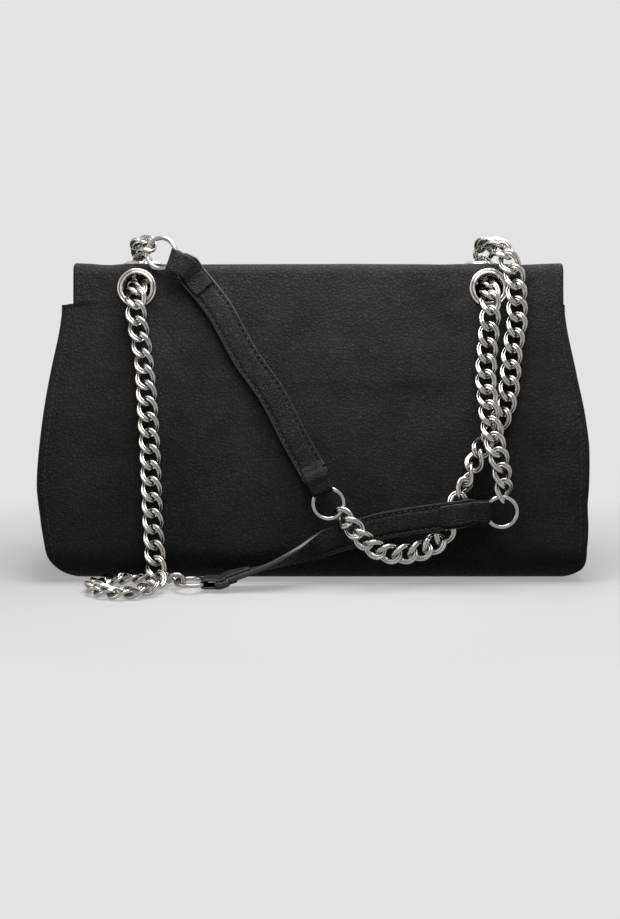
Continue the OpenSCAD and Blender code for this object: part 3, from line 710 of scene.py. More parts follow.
def outer_rows():
    """Rows of the back and flap leather in one sheet."""
    step = 2.2
    body = back_profile[back_profile[:, 1] <= mouth_z + 0.01]
    low = resample(np.vstack([body, vec(-depth_at(notch_z), notch_z)]), step)
    high = back_profile[back_profile[:, 1] > notch_z]
    above = low[-1] + NOTCH * unit(high[0] - low[-1])
    upper = resample(np.vstack([above, high, flap_profile[1:]]), step)
    p = np.vstack([low, upper])
    n = normals_of(p)
    rows = []
    for i, place in enumerate(p):
        on_flap = i >= len(low)
        half, hollow = flap_wall(*place) if on_flap else (side_x(place[1]), back_hollow)
        rows.append(wall_row(place, -n[i], half, 132, hollow, roll_r=FLAP_ROLL if on_flap else BODY_ROLL,
                             on_flap=on_flap))
    return rows


def make_outer():
    bm = grid_mesh(outer_rows(), holes=[(*eye, hole_r) for eye in back_eyes + top_eyes])
    outer = add_sheet("outer_leather", bm, leather_t, "leather", None, "back_panel", "flap")
    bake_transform(outer)


# Eyelets: a stepped rim of two beads, a barrel through the layers and a rolled lip inside
def eyelet_section(stack):
    """Outline of an eyelet, as radius and height above the leather, from the lip round the outside
    and back."""
    bore, rim = eyelet_bore / 2, (eyelet_d - eyelet_bore) / 2
    end = -stack - washer_t - 2 * air
    points = [(bore, end)]
    points += [(bore + barrel_t * (1 - cos(a)), end - barrel_t * sin(a))
               for a in np.linspace(0.3, pi, 8)]
    points += [(bore + barrel_t, end + 0.3), (bore + barrel_t, air), (bore + rim, air)]
    for middle, r, high in ((rim * 0.79, rim * 0.21, 0.75), (rim * 0.29, rim * 0.29, 1.5)):
        points += [(bore + middle + r * cos(a), air + high * sin(a))
                   for a in np.linspace(0.1, pi - 0.15, 10)]
    return points


def make_eyelet(node, centre, axis, body, stack):
    axis = unit(axis)
    side = np.cross(axis, across)
    section = eyelet_section(stack)
    rows = []
    for t in full_turn(72):
        ray = cos(t) * across + sin(t) * side
        rows.append([centre + r * ray + h * axis for r, h in section])
    bm = bmesh.new()
    add_tube(bm, rows, closed=True)
    add_piece(node + "_metal", face_outwards(bm), "fitting_metal", body, node)


def make_eyelets():
    for (centre, axis), side in zip(back_eyes, ("left", "right")):
        make_eyelet("eyelet_back_" + side, centre, axis, "bag", back_stack)
    for (centre, axis), side in zip(top_eyes, ("left", "right")):
        make_eyelet("eyelet_flap_" + side, centre, axis, "flap_body", flap_layers)


# Front, gussets and base: the rest of the leather body
def make_front():
    rows = wall_rows(front_profile, 1, side_x, front_hollow, step=2.4, columns=112, roll_r=BODY_ROLL)
    add_sheet("front_leather", grid_mesh(rows, flip=True), leather_t, "leather", "bag", "front_panel")


def gusset_puff(z, v):
    """A gusset bellies out low down and folds in below the mouth. v runs from back to front."""
    belly = 2.2 * exp(-((z - 55) / 32) ** 2)
    fold = 6.5 * exp(-((z - 132) / 26) ** 2) + 1.4 * exp(-((z - 92) / 14) ** 2)
    across_fold = exp(-(v / 0.32) ** 2)
    return (belly * (1 - v * v) - fold * across_fold) * min(1, z / 20)


def gusset_rows(side, step, columns, low, top, ends_at, out_at):
    """Rows of a gusset's layer between two heights. ends_at(z) says where a row starts at the back
    and ends at the front, and out_at(z, v) how far it stands outside the puffed side view."""
    rows = []
    for (x, z), normal in stations(side_profile, step):
        if not low < z < top:
            continue
        y0, y1 = ends_at(z)
        row = []
        for j in range(columns + 1):
            v = 2 * j / columns - 1
            out = gusset_puff(z, v) + out_at(z, v)
            row.append((widen(side * (x - normal[0] * out), z), y0 + (y1 - y0) * j / columns,
                        z - normal[1] * out))
        rows.append(row)
    return rows


def make_gusset(side, name):
    def ends_at(z):
        d = depth_at(z) - leather_t * 0.6 if z > 0.6 else base_y
        return -d, d

    def out_at(z, v):
        return 0.5 * noise.noise(Vector((z / 17, v * 1.6, 4 + side))) * (1 - v * v) - 0.8

    rows = gusset_rows(side, 2.4, 40, -1, bag_h, ends_at, out_at)
    add_sheet(name + "_leather", grid_mesh(rows, flip=side < 0), leather_t, "leather", "bag", name)


def plate_rows(w, d, z, step, sag=0.0):
    """Rows of a level plate of half width w and half depth d, which sags a little in waves."""
    nx, ny = int(2 * w / step), int(2 * d / step)
    return [[(widen(x, 0), y, z + sag * (0.2 * noise.noise(Vector((x / 30, y / 18, 2))) - 0.25))
             for x in np.linspace(-w, w, nx + 1)] for y in np.linspace(-d, d, ny + 1)]


def make_base():
    rows = plate_rows(base_x + 0.6, base_y + 0.6, 0.0, 4.0)
    add_sheet("base_leather", grid_mesh(rows, flip=True), leather_t, "leather", "bag", "base_panel")
    rows = plate_rows(base_x - 1.2, base_y - 1.2, 4.3, 3.0, sag=1.0)
    add_sheet("base_lining", grid_mesh(rows), lining_t * 0.8, "lining", "bag", "lining_base")


# Facings and linings follow the same hollows as the leather outside them
facing_low = front_z - 0.16 * bag_h
lining_low = 3.4


def inner_x(z):
    return side_x(z) - facing_in


def make_facings():
    rows = wall_rows(back_profile, -1, lambda z: flap_w / 2 - leather_t, back_hollow, step=2.4, columns=104,
                     low=mouth_z - 8, near=facing_in + 0.05 + facing_t, on_flap=True)
    holes = [(centre + 2.2 * deep, axis, hole_r) for centre, axis in back_eyes]
    add_sheet("back_facing_leather", grid_mesh(rows, True, holes), facing_t, "leather", "bag", "back_facing")
    rows = wall_rows(front_profile, 1, inner_x, front_hollow, step=3.0, columns=90, low=facing_low,
                      top=front_z, near=facing_in + facing_t)
    add_sheet("front_facing_leather", grid_mesh(rows), facing_t, "leather", "bag", "front_facing")


def cut_slit(bm):
    """Opens the slit for the zip in the back lining, and draws its edges straight."""
    def inside(place):
        return abs(place.x) < zip_l / 2 and abs(place.z - zip_z) < 3.6

    for v in cut_faces(bm, inside):
        if abs(v.co.x) < (zip_l / 2 + 2.5) * MM and abs(v.co.z / MM - zip_z) < 6:
            v.co.z = (zip_z + copysign(3.5, v.co.z / MM - zip_z)) * MM


def make_linings():
    rows = wall_rows(front_profile, 1, inner_x, front_hollow, step=3.0, columns=90, low=2.5,
                      top=facing_low - run, near=facing_in + lining_t)
    snap_hole = ((0, depth_at(snap_z) - 2.6, snap_z), (0, 1, slope_at(snap_z)), snap_d / 2 + run)
    bm = grid_mesh(rows, holes=[snap_hole])
    add_sheet("front_lining_cloth", bm, lining_t, "lining", "bag", "lining_front")
    rows = wall_rows(np.array(panel_side(mouth_z)), 1, inner_x, back_hollow, step=2.4, columns=112,
                      low=lining_low, top=mouth_z, near=lining_in + lining_t)
    bm = grid_mesh([[(x, -y, z) for x, y, z in row] for row in rows], flip=True)
    cut_slit(bm)
    add_sheet("back_lining_cloth", bm, lining_t, "lining", "bag", "lining_back")
    for side, name in ((-1, "lining_left"), (1, "lining_right")):
        make_side_lining(side, name)


def make_side_lining(side, name):
    def ends_at(z):
        return lining_in + lining_t + air - depth_at(z), depth_at(z) - back_stack - air

    def out_at(z, v):
        return -leather_t - 0.9 - lining_t

    rows = gusset_rows(side, 2.8, 32, lining_low, mouth_z - 1, ends_at, out_at)
    add_sheet(name + "_cloth", grid_mesh(rows, flip=side > 0), lining_t, "lining", "bag", name)


def flap_layer_rows(near, inset):
    """Rows of a layer under the flap, near mm inside its leather's face and inset mm inside its edge."""
    rows = []
    for place, normal in stations(flap_profile, 2.6)[1:]:
        y, z = place
        if z >= flap_low + inset:
            half, hollow = flap_wall(y, z - 0.4 * inset)
            rows.append(wall_row(place, -normal, half - inset, 100, hollow, near=near, on_flap=True))
    return rows


def make_flap_layers():
    under = leather_t + stiffener_t
    for name, near, t, slot, node, inset in (
            ("flap_lining_cloth", under + lining_t + 0.15, lining_t, "lining", "flap_lining", leather_t),
            ("flap_stiffener", under + 0.1, stiffener_t, "board", "flap_reinforcement", 8.0)):
        holes = [(centre - vec(*axis) * near, axis, hole_r) for centre, axis in top_eyes]
        add_sheet(name, grid_mesh(flap_layer_rows(near, inset), True, holes), t, slot, "flap_body", node)


def make_pocket():
    """Zip pocket behind the back lining: tapes on either side of the teeth, and a flat bag below."""
    half = zip_l / 2 + 4
    for s, name in ((-1, "low"), (1, "high")):
        rows = [[(x, lining_in - 0.12 - depth_at(z), z) for x in np.linspace(-half, half, 60)]
                for z in np.linspace(*sorted((zip_z + s * 1.1, zip_z + s * 8.6)), 5)]
        add_sheet("zip_tape_" + name, grid_mesh(rows, flip=True), 0.45, "tape", "bag", "zip_tapes")
    low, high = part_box("pocket_bag")
    w = (high.x - low.x) / 2 / MM
    for name, inset, below_top in (("back", 2.3, 0.5), ("front", 2.8, 14)):
        rows = []
        for z in np.linspace(low.z / MM + 0.5, high.z / MM - below_top, 26):
            row = []
            for x in np.linspace(-w + 0.5, w - 0.5, 50):
                sink = 0.9 * back_hollow(x, z) * min(1, (w - abs(x)) / EDGE_CALM)
                row.append((x, inset - depth_at(z) + sink, z))
            rows.append(row)
        add_sheet("pocket_cloth_" + name, grid_mesh(rows, flip=True), 0.35, "lining", "bag", "pocket_bag")


# Routes of the chain and straps: places, then the direction of the width there
flat_share = 0.375
rise = (link_w - link_wire) / 2 * flat_share + link_wire / 2 + run
turn_r = 1.6 * link_pitch
entry_r = 1.7 * link_pitch
entry_angle = radians(66)
back_eye = vec(-depth_at(eye_z), eye_z)
flap_eye = top_at(eyelet_front)
entry_mid = back_eye + entry_r * vec(cos(entry_angle), -sin(entry_angle) - 0.03)
turn_mid = vec(flap_eye[0] - turn_r, flap_eye[1] - 0.08 * turn_r)
ring_r = (ring_d - ring_wire) / 2
loop_leather_t = 1.2
loop_hole_r = ring_wire / 2 + run
loop_reach = loop_hole_r + 3 * loop_leather_t
hook = link_pitch / 2 - (link_len / 2 - link_wire - ring_wire / 2 - air)


def at(place, width):
    return np.concatenate([np.asarray(place, float), np.asarray(width, float)])


def near_back(x_share, z_share, layers, w=across):
    """A place over the back, by shares of the half width and the height, on layers of chain."""
    z = max(z_share * bag_h, edge_r)
    return at((x_share * bag_w / 2, -depth_at(z) - layers * rise, z_share * bag_h),
              unit(vec(w[0], w[1] + slope_at(z) * w[2], w[2])))


def on_floor(x_share, y_share, lift, w=across):
    """A place over the floor, by shares of the half width and the half depth towards the back."""
    return at((x_share * bag_w / 2, -y_share * base_d / 2, lift * rise), unit(w))


def along(surface, *places):
    """A stretch of a route over the back or the floor."""
    return [surface(*place) for place in places]


def through_eyes(side):
    """In through a back eyelet and round, up out of the flap's eyelet."""
    out = []
    for middle, r, angles in ((entry_mid, entry_r, (180, 153, 128, 105, 90)),
                              (turn_mid, turn_r, (-75, -50, -25, 0, 30, 60, 90))):
        out += [at((side * eyelet_x, middle[0] + r * cos(a), middle[1] + r * sin(a)), across)
                for a in np.radians(angles)]
    return out


def wire_point(ring, d, w):
    """A place on the wire of a ring, in the direction d from its middle."""
    return at(ring[:3] + ring_r * unit(d), unit(w))


def strap_end(ring, out, normal, more):
    return at(ring[:3] + (ring_r + loop_reach + air + more) * unit(out), unit(np.cross(normal, out)))


lower_right = near_back(0.68, 0.243, 2.3)
upper_low = near_back(0.056, 0.267, 1.85)
lower_left = on_floor(-0.44, 1.26, 1.4)
upper_top = near_back(-0.55, 1.03, 0.9)
top_out = vec(0.84, -0.34, -0.42)
top_normal = np.cross(top_out, (0.45, 0, 0.9))
low_out = vec(-0.42, 0, 0.9)
left_route = [
    wire_point(lower_left, (-0.8, 0.6, 0), (0.6, 0.8, 0)),
    *along(on_floor,
           (-0.5471, 1.0695, 1.5436, (0.34, 0.94, 0.03)), (-0.6192, 1.0071, 1.1631, (-0.04, 1, -0.01)),
           (-0.6818, 0.9581, 1.0377, (-0.22, 0.98, 0)), (-0.7448, 1.0115, 0.9508, (-0.75, 0.65, -0.1)),
           (-0.7918, 1.26, 1.005, (-0.97, -0.25, 0.02)), (-0.7627, 1.5003, 1.0151, (-0.62, -0.78, -0.11)),
           (-0.6903, 1.618, 0.9275, -deep), (-0.63, 1.59, 1, (0.2, -1, 0)),
           (-0.5819, 1.4895, 1.3995, (1, -1, 0)), (-0.5538, 1.3473, 2.0848, (0.99, -0.09, -0.05)),
           (-0.5654, 1.2518, 2.5227, (0.98, 0.22, 0.04))),
    *along(near_back,
           (-0.5727, 0.1109, 1.611, (0.99, -0.1, -0.01)), (-0.578, 0.18, 1.2), (-0.583, 0.3, 1.15),
           (-0.59, 0.45, 1.1), (-0.5994, 0.5808, 1.1276), (-0.6095, 0.701, 1.3065, (0.89, -0.46, 0.12)),
           (-0.6264, 0.7948, 1.5542, (0.94, -0.14, 0.34))),
    *through_eyes(-1),
    at((-eyelet_x + turn_r / 3, turn_mid[0] - turn_r * 0.8, turn_mid[1] + turn_r), across),
    wire_point(upper_top, (-0.89, 0.31, 0.3), across)]
right_route = [
    wire_point(lower_right, (0.12, 0, 1), across),
    *along(near_back,
           (0.6847, 0.3356, 3.1316, (1, -0.03, 0.09)), (0.6674, 0.415, 3.6101, (0.99, 0.15, -0.08)),
           (0.6496, 0.456, 3.7604), (0.6364, 0.5116, 3.0827, (0.98, 0.11, -0.19)),
           (0.63, 0.57, 2.7), (0.621, 0.63, 1.8), (0.626, 0.7, 1.1), (0.634, 0.78, 1.15)),
    *through_eyes(1),
    at((eyelet_x + turn_r / 3, turn_mid[0] - turn_r, turn_mid[1] + turn_r * 0.97), across),
    *along(near_back,
           (0.7017, 1.0147, 1.7418, (0.97, -0.24, 0.02)), (0.7327, 0.9558, 1.5829, (0.98, 0.19, -0.05)),
           (0.7331, 0.8923, 1.3875, (0.8, -0.08, -0.57)), (0.7402, 0.8287, 0.9341, (0.99, 0.12, -0.06)),
           (0.72, 0.74, 1.05), (0.709, 0.62, 1.05), (0.694, 0.56, 1.05),
           (0.6694, 0.5092, 1.1251, (0.99, 0.03, -0.14)), (0.6283, 0.4601, 1.225, (1, -0.1, 0)),
           (0.5936, 0.4175, 1.7224, (0.85, -0.52, -0.04)), (0.5702, 0.3648, 1.6343, (0.37, -0.92, 0.27)),
           (0.5464, 0.3258, 1.982, (-0.27, -0.96, 0.22)), (0.531, 0.2892, 1.4441, (-0.9, -0.39, 0.23)),
           (0.5181, 0.261, 1.3469, (-0.99, -0.07, 0.1)), (0.4986, 0.2111, 1.1821, (-0.84, -0.12, 0.53)),
           (0.4784, 0.172, 1.4403, (-0.85, -0.05, 0.53)), (0.4434, 0.1379, 1.6708, (-0.56, -0.02, 0.83)),
           (0.3896, 0.1224, 2.1698, (-0.36, -0.01, 0.93)), (0.3485, 0.1144, 2.5532, (0.22, -0.13, 0.97)),
           (0.2806, 0.1129, 2.9487, (-0.08, -0.21, 0.97)), (0.2261, 0.1285, 2.9045, (0.1, -0.45, 0.9)),
           (0.176, 0.1674, 3.6593, (0.36, -0.22, 0.92)), (0.1431, 0.2087, 3.7338, (0.89, -0.18, 0.44)),
           (0.1164, 0.2169, 2.8699, (0.79, 0.26, 0.53))),
    wire_point(upper_low, (0.7, 0, -0.7), (1, 0, 1))]
strap_upper_route = [
    strap_end(upper_top, top_out, top_normal, 0), strap_end(upper_top, top_out, top_normal, strap_t),
    *along(near_back,
           (-0.435, 0.96, 0.9, (0.77, 0, 0.64)), (-0.4, 0.925, 0.75, (0.77, 0, 0.64)),
           (-0.333, 0.85, 0.7, (0.8, 0, 0.6)), (-0.243, 0.712, 0.7, (0.85, 0, 0.5)),
           (-0.15, 0.6, 0.7, (0.85, 0, 0.5)), (-0.074, 0.475, 0.7, (0.87, 0, 0.45)),
           (-0.008, 0.375, 0.8, (0.87, 0, 0.45))),
    strap_end(upper_low, low_out, -deep, strap_t), strap_end(upper_low, low_out, -deep, 0)]
strap_lower_route = [
    strap_end(lower_left, across, upright, 0), strap_end(lower_left, across, upright, strap_t),
    *along(on_floor, (-0.3, 1.22, 2, deep), (-0.16, 1.2, 3.7, (0, 1, -0.3))),
    *along(near_back,
           (-0.05, 0.108, 2.3, (0, 1, -1)), (0.05, 0.142, 0.95, (0.2, 0.12, -1)),
           (0.15, 0.168, 0.8, (0.2, 0, -1)), (0.25, 0.193, 0.95, (0.2, 0, -1)),
           (0.36, 0.215, 2.1, (0.2, 0, -1)), (0.46, 0.231, 3, (0.1, 0, -1)),
           (0.53, 0.238, 2.9, (0.1, 0, -1))),
    strap_end(lower_right, -across, -deep, strap_t), strap_end(lower_right, -across, -deep, 0)]


# Curb chain: one ring of wire per link, twisted so that the links lie flat
LINK_AROUND = 44
LINK_SIDES = 24
turned_links = 3


def joints(route):
    """The places where one link hands over to the next, from ring to ring."""
    p = [q.copy() for q in route]
    p[0][:3] += hook * unit(p[0][:3] - route[1][:3])
    p[-1][:3] += hook * unit(p[-1][:3] - route[-2][:3])
    d = smooth(p, 8)
    s = lengths(d[:, :3])
    return even_steps(d, s, int(round(s[-1] / link_pitch)))


def link_middle(t):
    """Middle of the wire round a link. The sides lie a little closer than in the solid, whose wire is
    thinner."""
    w = radians(link_twist) * cos(t)
    half = (link_w - link_wire) / 2 - 0.25
    return vec((link_len - link_wire) / 2 * cos(t), half * sin(t) * cos(w),
               half * sin(t) * sin(w))


def wire_radius(a):
    """The wire is planed: wider than it is thick, with a shallow groove along both faces."""
    flat = 1.5 if cos(a) < 0 else 1.42
    r = 1 / sqrt((cos(a) / flat) ** 2 + (sin(a) / 1.16) ** 2)
    return r - 0.58 * exp(-(cos(a) / 0.34) ** 2)


def link_points():
    """Points of one link, in rings round its wire."""
    rings = []
    for t in full_turn(LINK_AROUND):
        c = link_middle(t)
        d = unit(link_middle(t + 0.01) - link_middle(t - 0.01))
        b = unit(np.cross(d, unit(c)))
        e = np.cross(b, d)
        if e @ c < 0:
            b, e = -b, -e
        rings.append([c + wire_radius(a) * (cos(a) * e + sin(a) * b)
                      for a in full_turn(LINK_SIDES)])
    return np.array(rings)


link_shape = link_points()


def turned_share(k):
    return max(0, 1 - k / turned_links)


def add_link(bm, p, q, turn):
    x = unit(q[:3] - p[:3])
    z = unit(np.cross(x, p[3:] + q[3:]))
    y = np.cross(z, x)
    a = radians(turn + rng.uniform(-2.5, 2.5))
    axes = np.array([x, y * cos(a) + z * sin(a), z * cos(a) - y * sin(a)])
    add_tube(bm, (p[:3] + q[:3]) / 2 + link_shape @ axes, closed=True)


def make_chain(name, p, first, end, turns):
    """The links from one joint to another. Near the rings they turn by up to turns, in degrees."""
    bm = bmesh.new()
    for k in range(first, end):
        add_link(bm, p[k], p[k + 1], turns[0] * turned_share(k) - turns[1] * turned_share(len(p) - 2 - k))
    turning = name.endswith("_turn")
    links = add_piece(name + "_links", face_outwards(bm), "chain_metal", None if turning else "bag", name)
    if turning:
        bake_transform(links)


def make_chains():
    left = joints(left_route)
    right = joints(right_route)

    def first_inside(p):
        return next(k for k in range(len(p) - 1)
                    if p[k + 1][1] > back_eye[0] - link_wire and p[k + 1][2] > mouth_z)

    left_turn = first_inside(left)
    right_turn = first_inside(right)
    right_down = next(k for k in range(right_turn + 4, len(right)) if right[k][1] < back_eye[0])
    make_chain("chain_left_fall", left, 0, left_turn, (36, -32))
    make_chain("chain_left_turn", left, left_turn, len(left) - 1, (36, -32))
    make_chain("chain_right_fall", right, 0, right_turn, (42, 36))
    make_chain("chain_right_turn", right, right_turn, right_down, (42, 36))
    make_chain("chain_right_drape", right, right_down, len(right) - 1, (42, 36))


# Stitches: short threads that dip into the leather at both ends, in one mesh for each body
stitch_bm = {"bag": bmesh.new(), "flap_body": bmesh.new()}
STITCH_STEPS = 6
STITCH_SIDES = 6


def add_stitch(body, a, b, normal, thick):
    x = unit(b - a)
    z = unit(normal - (normal @ x) * x)
    y = np.cross(z, x)
    rows = []
    for t in np.arange(STITCH_STEPS + 1) / STITCH_STEPS:
        arch = sin(pi * t)
        centre = a + (b - a) * t + z * (thick * (0.55 * arch - 0.35))
        r = thick / 2 * (0.55 + 0.45 * arch)
        rows.append([centre + r * (cos(w) * y + sin(w) * z) for w in full_turn(STITCH_SIDES)])
    add_tube(stitch_bm[body], rows)


def sew(body, places, kind=SEAM_THREAD):
    """A row of stitches through places, each given as a point and a normal."""
    pitch, gap, thick = kind
    line = np.array([np.concatenate(place) for place in places])
    s = lengths(line[:, :3])
    n = max(1, int(round(s[-1] / pitch)))
    for k in range(n):
        a, middle, b = line_at(line, s, (k + vec(gap / pitch / 2, 0.5, 1 - gap / pitch / 2)) * s[-1] / n)
        add_stitch(body, a[:3], b[:3], middle[3:], thick)


# Straps: a crowned band with painted edges and a row of stitches near each edge. At either end a
# narrower tab runs round the ring and back under the band
BAND_STEP = 1.1
TAB_STEP = 0.9
BAND_STITCH_X = 5.15
TAB_STITCH_X = 4.1
TAB_LONG = 19
TAB_SHORT = 11


def band_section():
    """Outline of the strap, across and up, from the middle of the top round to the middle, and which
    of the faces along it are painted edge."""
    w, h = strap_w / 2, strap_t / 2
    top = []
    for x in (0, 1.5, 3, 4.3, 4.75, 5.0, 5.15, 5.3, 5.45, 5.7, 6.1, 6.5):
        crown = h * (1 - 0.13 * (x / w) ** 2)
        groove = 0.6 * exp(-((x - 4.9) / 0.45) ** 2)
        top.append((x, crown - groove))
    edge = [(w - 0.22, h * 0.72), (w - 0.03, h * 0.42), (w, 0), (w - 0.03, -h * 0.42), (w - 0.22, -h * 0.72)]
    right = top + edge + [(x, -z) for x, z in reversed(top)]
    outline = right + [(-x, z) for x, z in reversed(right)][1:-1]
    painted = range(len(top) - 1, len(top) + len(edge))
    return outline, [j % len(right) in painted for j in range(len(outline))]


def tab_section():
    """Outline of a tab, across and up, and which of the faces along it are painted edge."""
    w, h = loop_w / 2, loop_leather_t / 2
    flat = (-4.4, -2, 0, 2, 4.4)
    outline = [(-w + 0.1, -h * 0.9), (-w, -h * 0.5), (-w, h * 0.5), (-w + 0.12, h * 0.9)]
    outline += [(x, h) for x in flat]
    outline += [(w - 0.12, h * 0.9), (w, h * 0.5), (w, -h * 0.5), (w - 0.1, -h * 0.9)]
    outline += [(-x, -h) for x in flat]
    return outline, [j in (0, 1, 2, 9, 10, 11) for j in range(len(outline))]


def sweep(line, section):
    """The section carried along a line of places and widths: rows of points, and at each place the
    place itself, the direction of the width and the one up from the face."""
    rows, frames = [], []
    path = line[:, :3]
    for i, place in enumerate(path):
        x = unit(path[min(i + 1, len(path) - 1)] - path[max(i - 1, 0)])
        y = unit(line[i, 3:] - (line[i, 3:] @ x) * x)
        z = np.cross(x, y)
        frames.append((place, y, z))
        rows.append([place + a * y + b * z for a, b in section])
    return rows, frames


def shrink(row, place, share):
    return [place + (v - place) * share for v in row]


def add_band(name, rows, painted, node):
    bm = bmesh.new()
    for k, face in enumerate(add_tube(bm, rows)):
        face.material_index = int(painted[k % len(painted)])
    band = add_piece(name, face_outwards(bm), "strap_leather", "bag", node)
    band.data.materials.append(edge_paint)


def make_strap(name, route):
    """One band, whose ends are rounded and pressed thinner. Gives the places along it for its tabs."""
    line = smooth(list(smooth(route, 2)), 6)
    s = lengths(line[:, :3])
    section, painted = band_section()
    rows, frames = sweep(even_steps(line, s, int(s[-1] / BAND_STEP)), section)
    for i, row in enumerate(rows):
        near_end = min(i, len(rows) - 1 - i) * BAND_STEP
        rows[i] = shrink(row, frames[i][0], 0.86 + 0.14 * min(1, near_end / 3.5))
    add_band(name + "_band", rows, painted, name)
    up = strap_t / 2 * 0.93 - 0.22
    for side in (-1, 1):
        for face in (1, -1):
            sew("bag", [(place + side * BAND_STITCH_X * y + face * up * z, face * z)
                        for place, y, z in frames[3:-3]], STRAP_THREAD)
    return frames


def make_tab(node, ring, out, frames, outward):
    """A tab folded round the ring, its long arm on the strap's outer face, the short arm behind.
    frames run from the end of the strap at this ring."""
    out = unit(out)
    centre = ring[:3] + ring_r * out
    flip = 1 if frames[4][2] @ outward > 0 else -1
    face = flip * frames[4][2]
    s = lengths(np.array([f[0] for f in frames]))

    def arm(reach, lift):
        return [at(place + flip * z * lift, y) for (place, y, z), d in zip(frames, s) if d < reach]

    lift = strap_t / 2 + loop_leather_t / 2 - 0.15
    back = unit(face - (face @ out) * out)
    r = loop_hole_r + loop_leather_t / 2
    bend = [at(centre + r * (sin(a) * back - cos(a) * out), frames[0][1])
            for a in np.radians(np.linspace(90, -90, 15))]
    line = resample(np.array(arm(TAB_LONG, lift)[::-1] + bend + arm(TAB_SHORT, -lift)), TAB_STEP)
    section, painted = tab_section()
    rows, tab_frames = sweep(line, section)
    for i, share in enumerate((0.93, 0.97)):
        rows[i] = shrink(rows[i], tab_frames[i][0], share)
    add_band(node + "_tab", rows, painted, node)
    up = 1 if tab_frames[3][2] @ face > 0 else -1
    long_arm = [f for f in tab_frames if (f[0] - centre) @ out > 3.6 and (f[0] - frames[4][0]) @ face > 0][1:]

    def thread_at(frame_at, x):
        place, y, z = frame_at
        return place + x * y + up * (loop_leather_t / 2 - 0.05) * z, up * z

    for x in (-TAB_STITCH_X, TAB_STITCH_X):
        sew("bag", [thread_at(f, x) for f in long_arm], TAB_THREAD)
    sew("bag", [thread_at(long_arm[0], x) for x in (-TAB_STITCH_X, TAB_STITCH_X)], TAB_THREAD)


def make_straps():
    upper = make_strap("strap_upper", strap_upper_route)
    lower = make_strap("strap_lower", strap_lower_route)
    outward = vec(0, -1, 0.15)
    make_tab("loop_upper_top", upper_top, top_out, upper, outward)
    make_tab("loop_upper_low", upper_low, low_out, upper[::-1], outward)
    make_tab("loop_lower_left", lower_left, across, lower, vec(0, -0.2, 1))
    make_tab("loop_lower_right", lower_right, -across, lower[::-1], outward)


# Seams along the sides of the back and front, and round the flap
def seam_place(x, y, z, normal, sink, on_flap=True):
    """Where the thread lies over a place on the leather that sinks so far, and its normal."""
    return vec(widen(x, z, on_flap), y, z) - normal * (sink - THREAD_OUT), normal


def wall_normal(z, face):
    tilt = atan(slope_at(z)) if z > edge_r else 0
    return vec(0, face * cos(tilt), sin(tilt))


def side_seam_at(side, face, hollow, z):
    """A place on the seam along a side of the back, where face is -1, or the front."""
    on_flap = z > notch_z
    half, inset = (flap_w / 2, FLAP_SEAM_IN) if on_flap else (side_x(z), BODY_SEAM_IN)
    x = side * (half - inset)
    sink = hollow(x, z) * min(1, inset / EDGE_CALM)
    return seam_place(x, face * depth_at(z), z, wall_normal(z, face), sink, on_flap)


def make_seams():
    for side in (-1, 1):
        for face, hollow, top in ((-1, back_hollow, bag_h - 9), (1, front_hollow, front_z - 4)):
            heights = np.linspace(16, top, 90)
            places = [side_seam_at(side, face, hollow, z) for z in heights]
            n_low = int(sum(heights < notch_z - 1))
            sew("bag", places[:n_low])
            if n_low < len(places):
                sew("bag", places[n_low + 1:])
    make_flap_seam()


def flap_seam_at(x, place, normal):
    half, hollow = flap_wall(*place)
    sink = hollow(x, place[1]) * clamp((half - abs(x)) / EDGE_CALM)
    return seam_place(x, *place, vec(0, *normal), sink)


def make_flap_seam():
    """Down both sides of the flap from the fold to its round corners, then round its lower edge."""
    corner_x, corner_z = flap_w / 2 - flap_corner_r, flap_low + flap_corner_r
    straight = [station for station in stations(flap_profile, 1.5)[4:] if station[0][1] >= corner_z]
    for x in (FLAP_SEAM_IN - flap_w / 2, flap_w / 2 - FLAP_SEAM_IN):
        sew("flap_body", [flap_seam_at(x, *station) for station in straight])
    r = flap_corner_r - FLAP_SEAM_IN
    corner = [(corner_x + r * cos(a), corner_z - r * sin(a))
              for a in np.linspace(0.05, pi / 2, 24)]
    bottom = [(x, flap_low + FLAP_SEAM_IN) for x in np.linspace(corner_x - 3, 3 - corner_x, 60)]
    outline = corner + bottom + [(-x, z) for x, z in reversed(corner)]
    sew("flap_body", [seam_place(x, depth_at(z) + flap_out, z, wall_normal(z, 1), 0.22 * front_hollow(x, z))
                      for x, z in outline])


def make_stitches():
    for body, bm in stitch_bm.items():
        stitches = new_object("stitches_" + body, bm, thread)
        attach(stitches, body)


# The solids that keep their own shape: give each its finish and rounded edges
def dress_solids():
    slots = {s["node"]: s["material_slot"] for s in frame["record"]["subparts"]}
    for name, node in frame["nodes"].items():
        if node.hide_render:
            continue
        node.data.materials.clear()
        node.data.materials.append(looks[slots[name]])
        for f in node.data.polygons:
            f.use_smooth = True
        if not name.startswith("ring"):
            add_bevel(node, "edges", 0.12, 2, 35)
            weighted = node.modifiers.new("shading", "WEIGHTED_NORMAL")
            weighted.keep_sharp = True


# Studio: a pale floor that fades into the background, one broad light above, weak fills
def seen_directly(tree):
    """1 for the rays that show the background itself: camera, glossy and transmission rays."""
    path = add(tree, "ShaderNodeLightPath")
    seen = math_node(tree, "MAXIMUM", path.outputs["Is Camera Ray"], path.outputs["Is Transmission Ray"])
    return math_node(tree, "MAXIMUM", seen, path.outputs["Is Glossy Ray"])


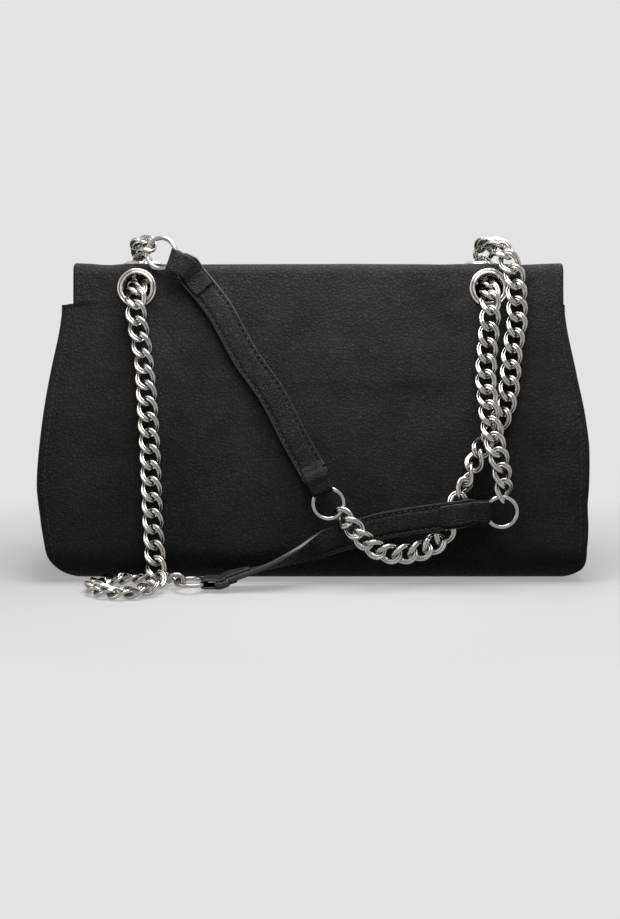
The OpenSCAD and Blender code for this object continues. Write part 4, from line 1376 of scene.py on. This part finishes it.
def make_floor():
    """The floor turns into an even glow away from the bag, and bounces less light than it shows."""
    material, tree = new_material("floor")
    seen = seen_directly(tree)
    shader = set_shader(tree, Base_Color=mix_colour(tree, seen, grey(FLOOR_BOUNCE), grey(FLOOR_TONE)),
                        Roughness=0.95, Specular_IOR_Level=0.0)
    where = add(tree, "ShaderNodeNewGeometry").outputs["Position"]
    squeezed = vector_node(tree, "MULTIPLY", where, (0.6, 1, 1))[0]
    fade = map_range(tree, vector_node(tree, "LENGTH", squeezed)["Value"], 0.085, 0.21, 0.45, 1.0)
    glow = add(tree, "ShaderNodeEmission", Color=grey(BACKGROUND),
               Strength=map_range(tree, seen, 0.0, 1.0, FLOOR_BOUNCE, 1.0))
    mix = add(tree, "ShaderNodeMixShader", fade, shader.outputs[0], glow.outputs[0])
    put(tree, mix.outputs[0], tree.nodes["Material Output"].inputs["Surface"])
    bm = bmesh.new()
    bm.faces.new([bm.verts.new((x * FLOOR_HALF, y * FLOOR_HALF, FLOOR_Z))
                  for x, y in ((-1, -1), (1, -1), (1, 1), (-1, 1))])
    new_object("floor", bm, material)


def make_world():
    """The world shows as the background and lights the bag weakly."""
    world = bpy.data.worlds.new("world")
    bpy.context.scene.world = world
    world.use_nodes = True
    tree = world.node_tree
    tree.nodes.clear()
    pale = add(tree, "ShaderNodeBackground", Color=grey(BACKGROUND), Strength=1.0)
    soft = add(tree, "ShaderNodeBackground", Color=grey(1), Strength=WORLD_LIGHT)
    mix = add(tree, "ShaderNodeMixShader", seen_directly(tree), soft.outputs[0], pale.outputs[0])
    add(tree, "ShaderNodeOutputWorld", mix.outputs[0])


def add_light(name, place, target, size, power):
    """A square lamp, in metres and watts."""
    data = bpy.data.lights.new(name, "AREA")
    data.shape = "RECTANGLE"
    data.size = size
    data.size_y = size
    data.energy = power
    light = bpy.data.objects.new(name, data)
    light.location = place
    light.rotation_euler = (Vector(target) - Vector(place)).to_track_quat("-Z", "Y").to_euler()
    light.visible_camera = False
    bpy.context.collection.objects.link(light)


def make_studio():
    make_floor()
    make_world()
    add_light("top_light", (0.02, -0.09, 0.37), (0, -0.03, 0.06), 0.32, 2.7)
    add_light("camera_fill", (-0.5, -1.5, 0.75), (0, 0, 0.08), 0.9, 0.3)
    add_light("left_fill", (-0.75, -0.3, 0.3), (0, 0, 0.06), 0.4, 0.8)
    add_light("right_fill", (0.8, 0.2, 0.35), (0, 0, 0.06), 0.4, 0.8)
    add_light("flap_fill", (0.25, 1.0, 0.75), (0, 0, 0.08), 0.6, 5.0)


make_outer()
make_front()
make_gusset(-1, "gusset_left")
make_gusset(1, "gusset_right")
make_base()
make_facings()
make_linings()
make_flap_layers()
make_pocket()
make_chains()
make_straps()
make_eyelets()
make_seams()
make_stitches()
dress_solids()
make_studio()
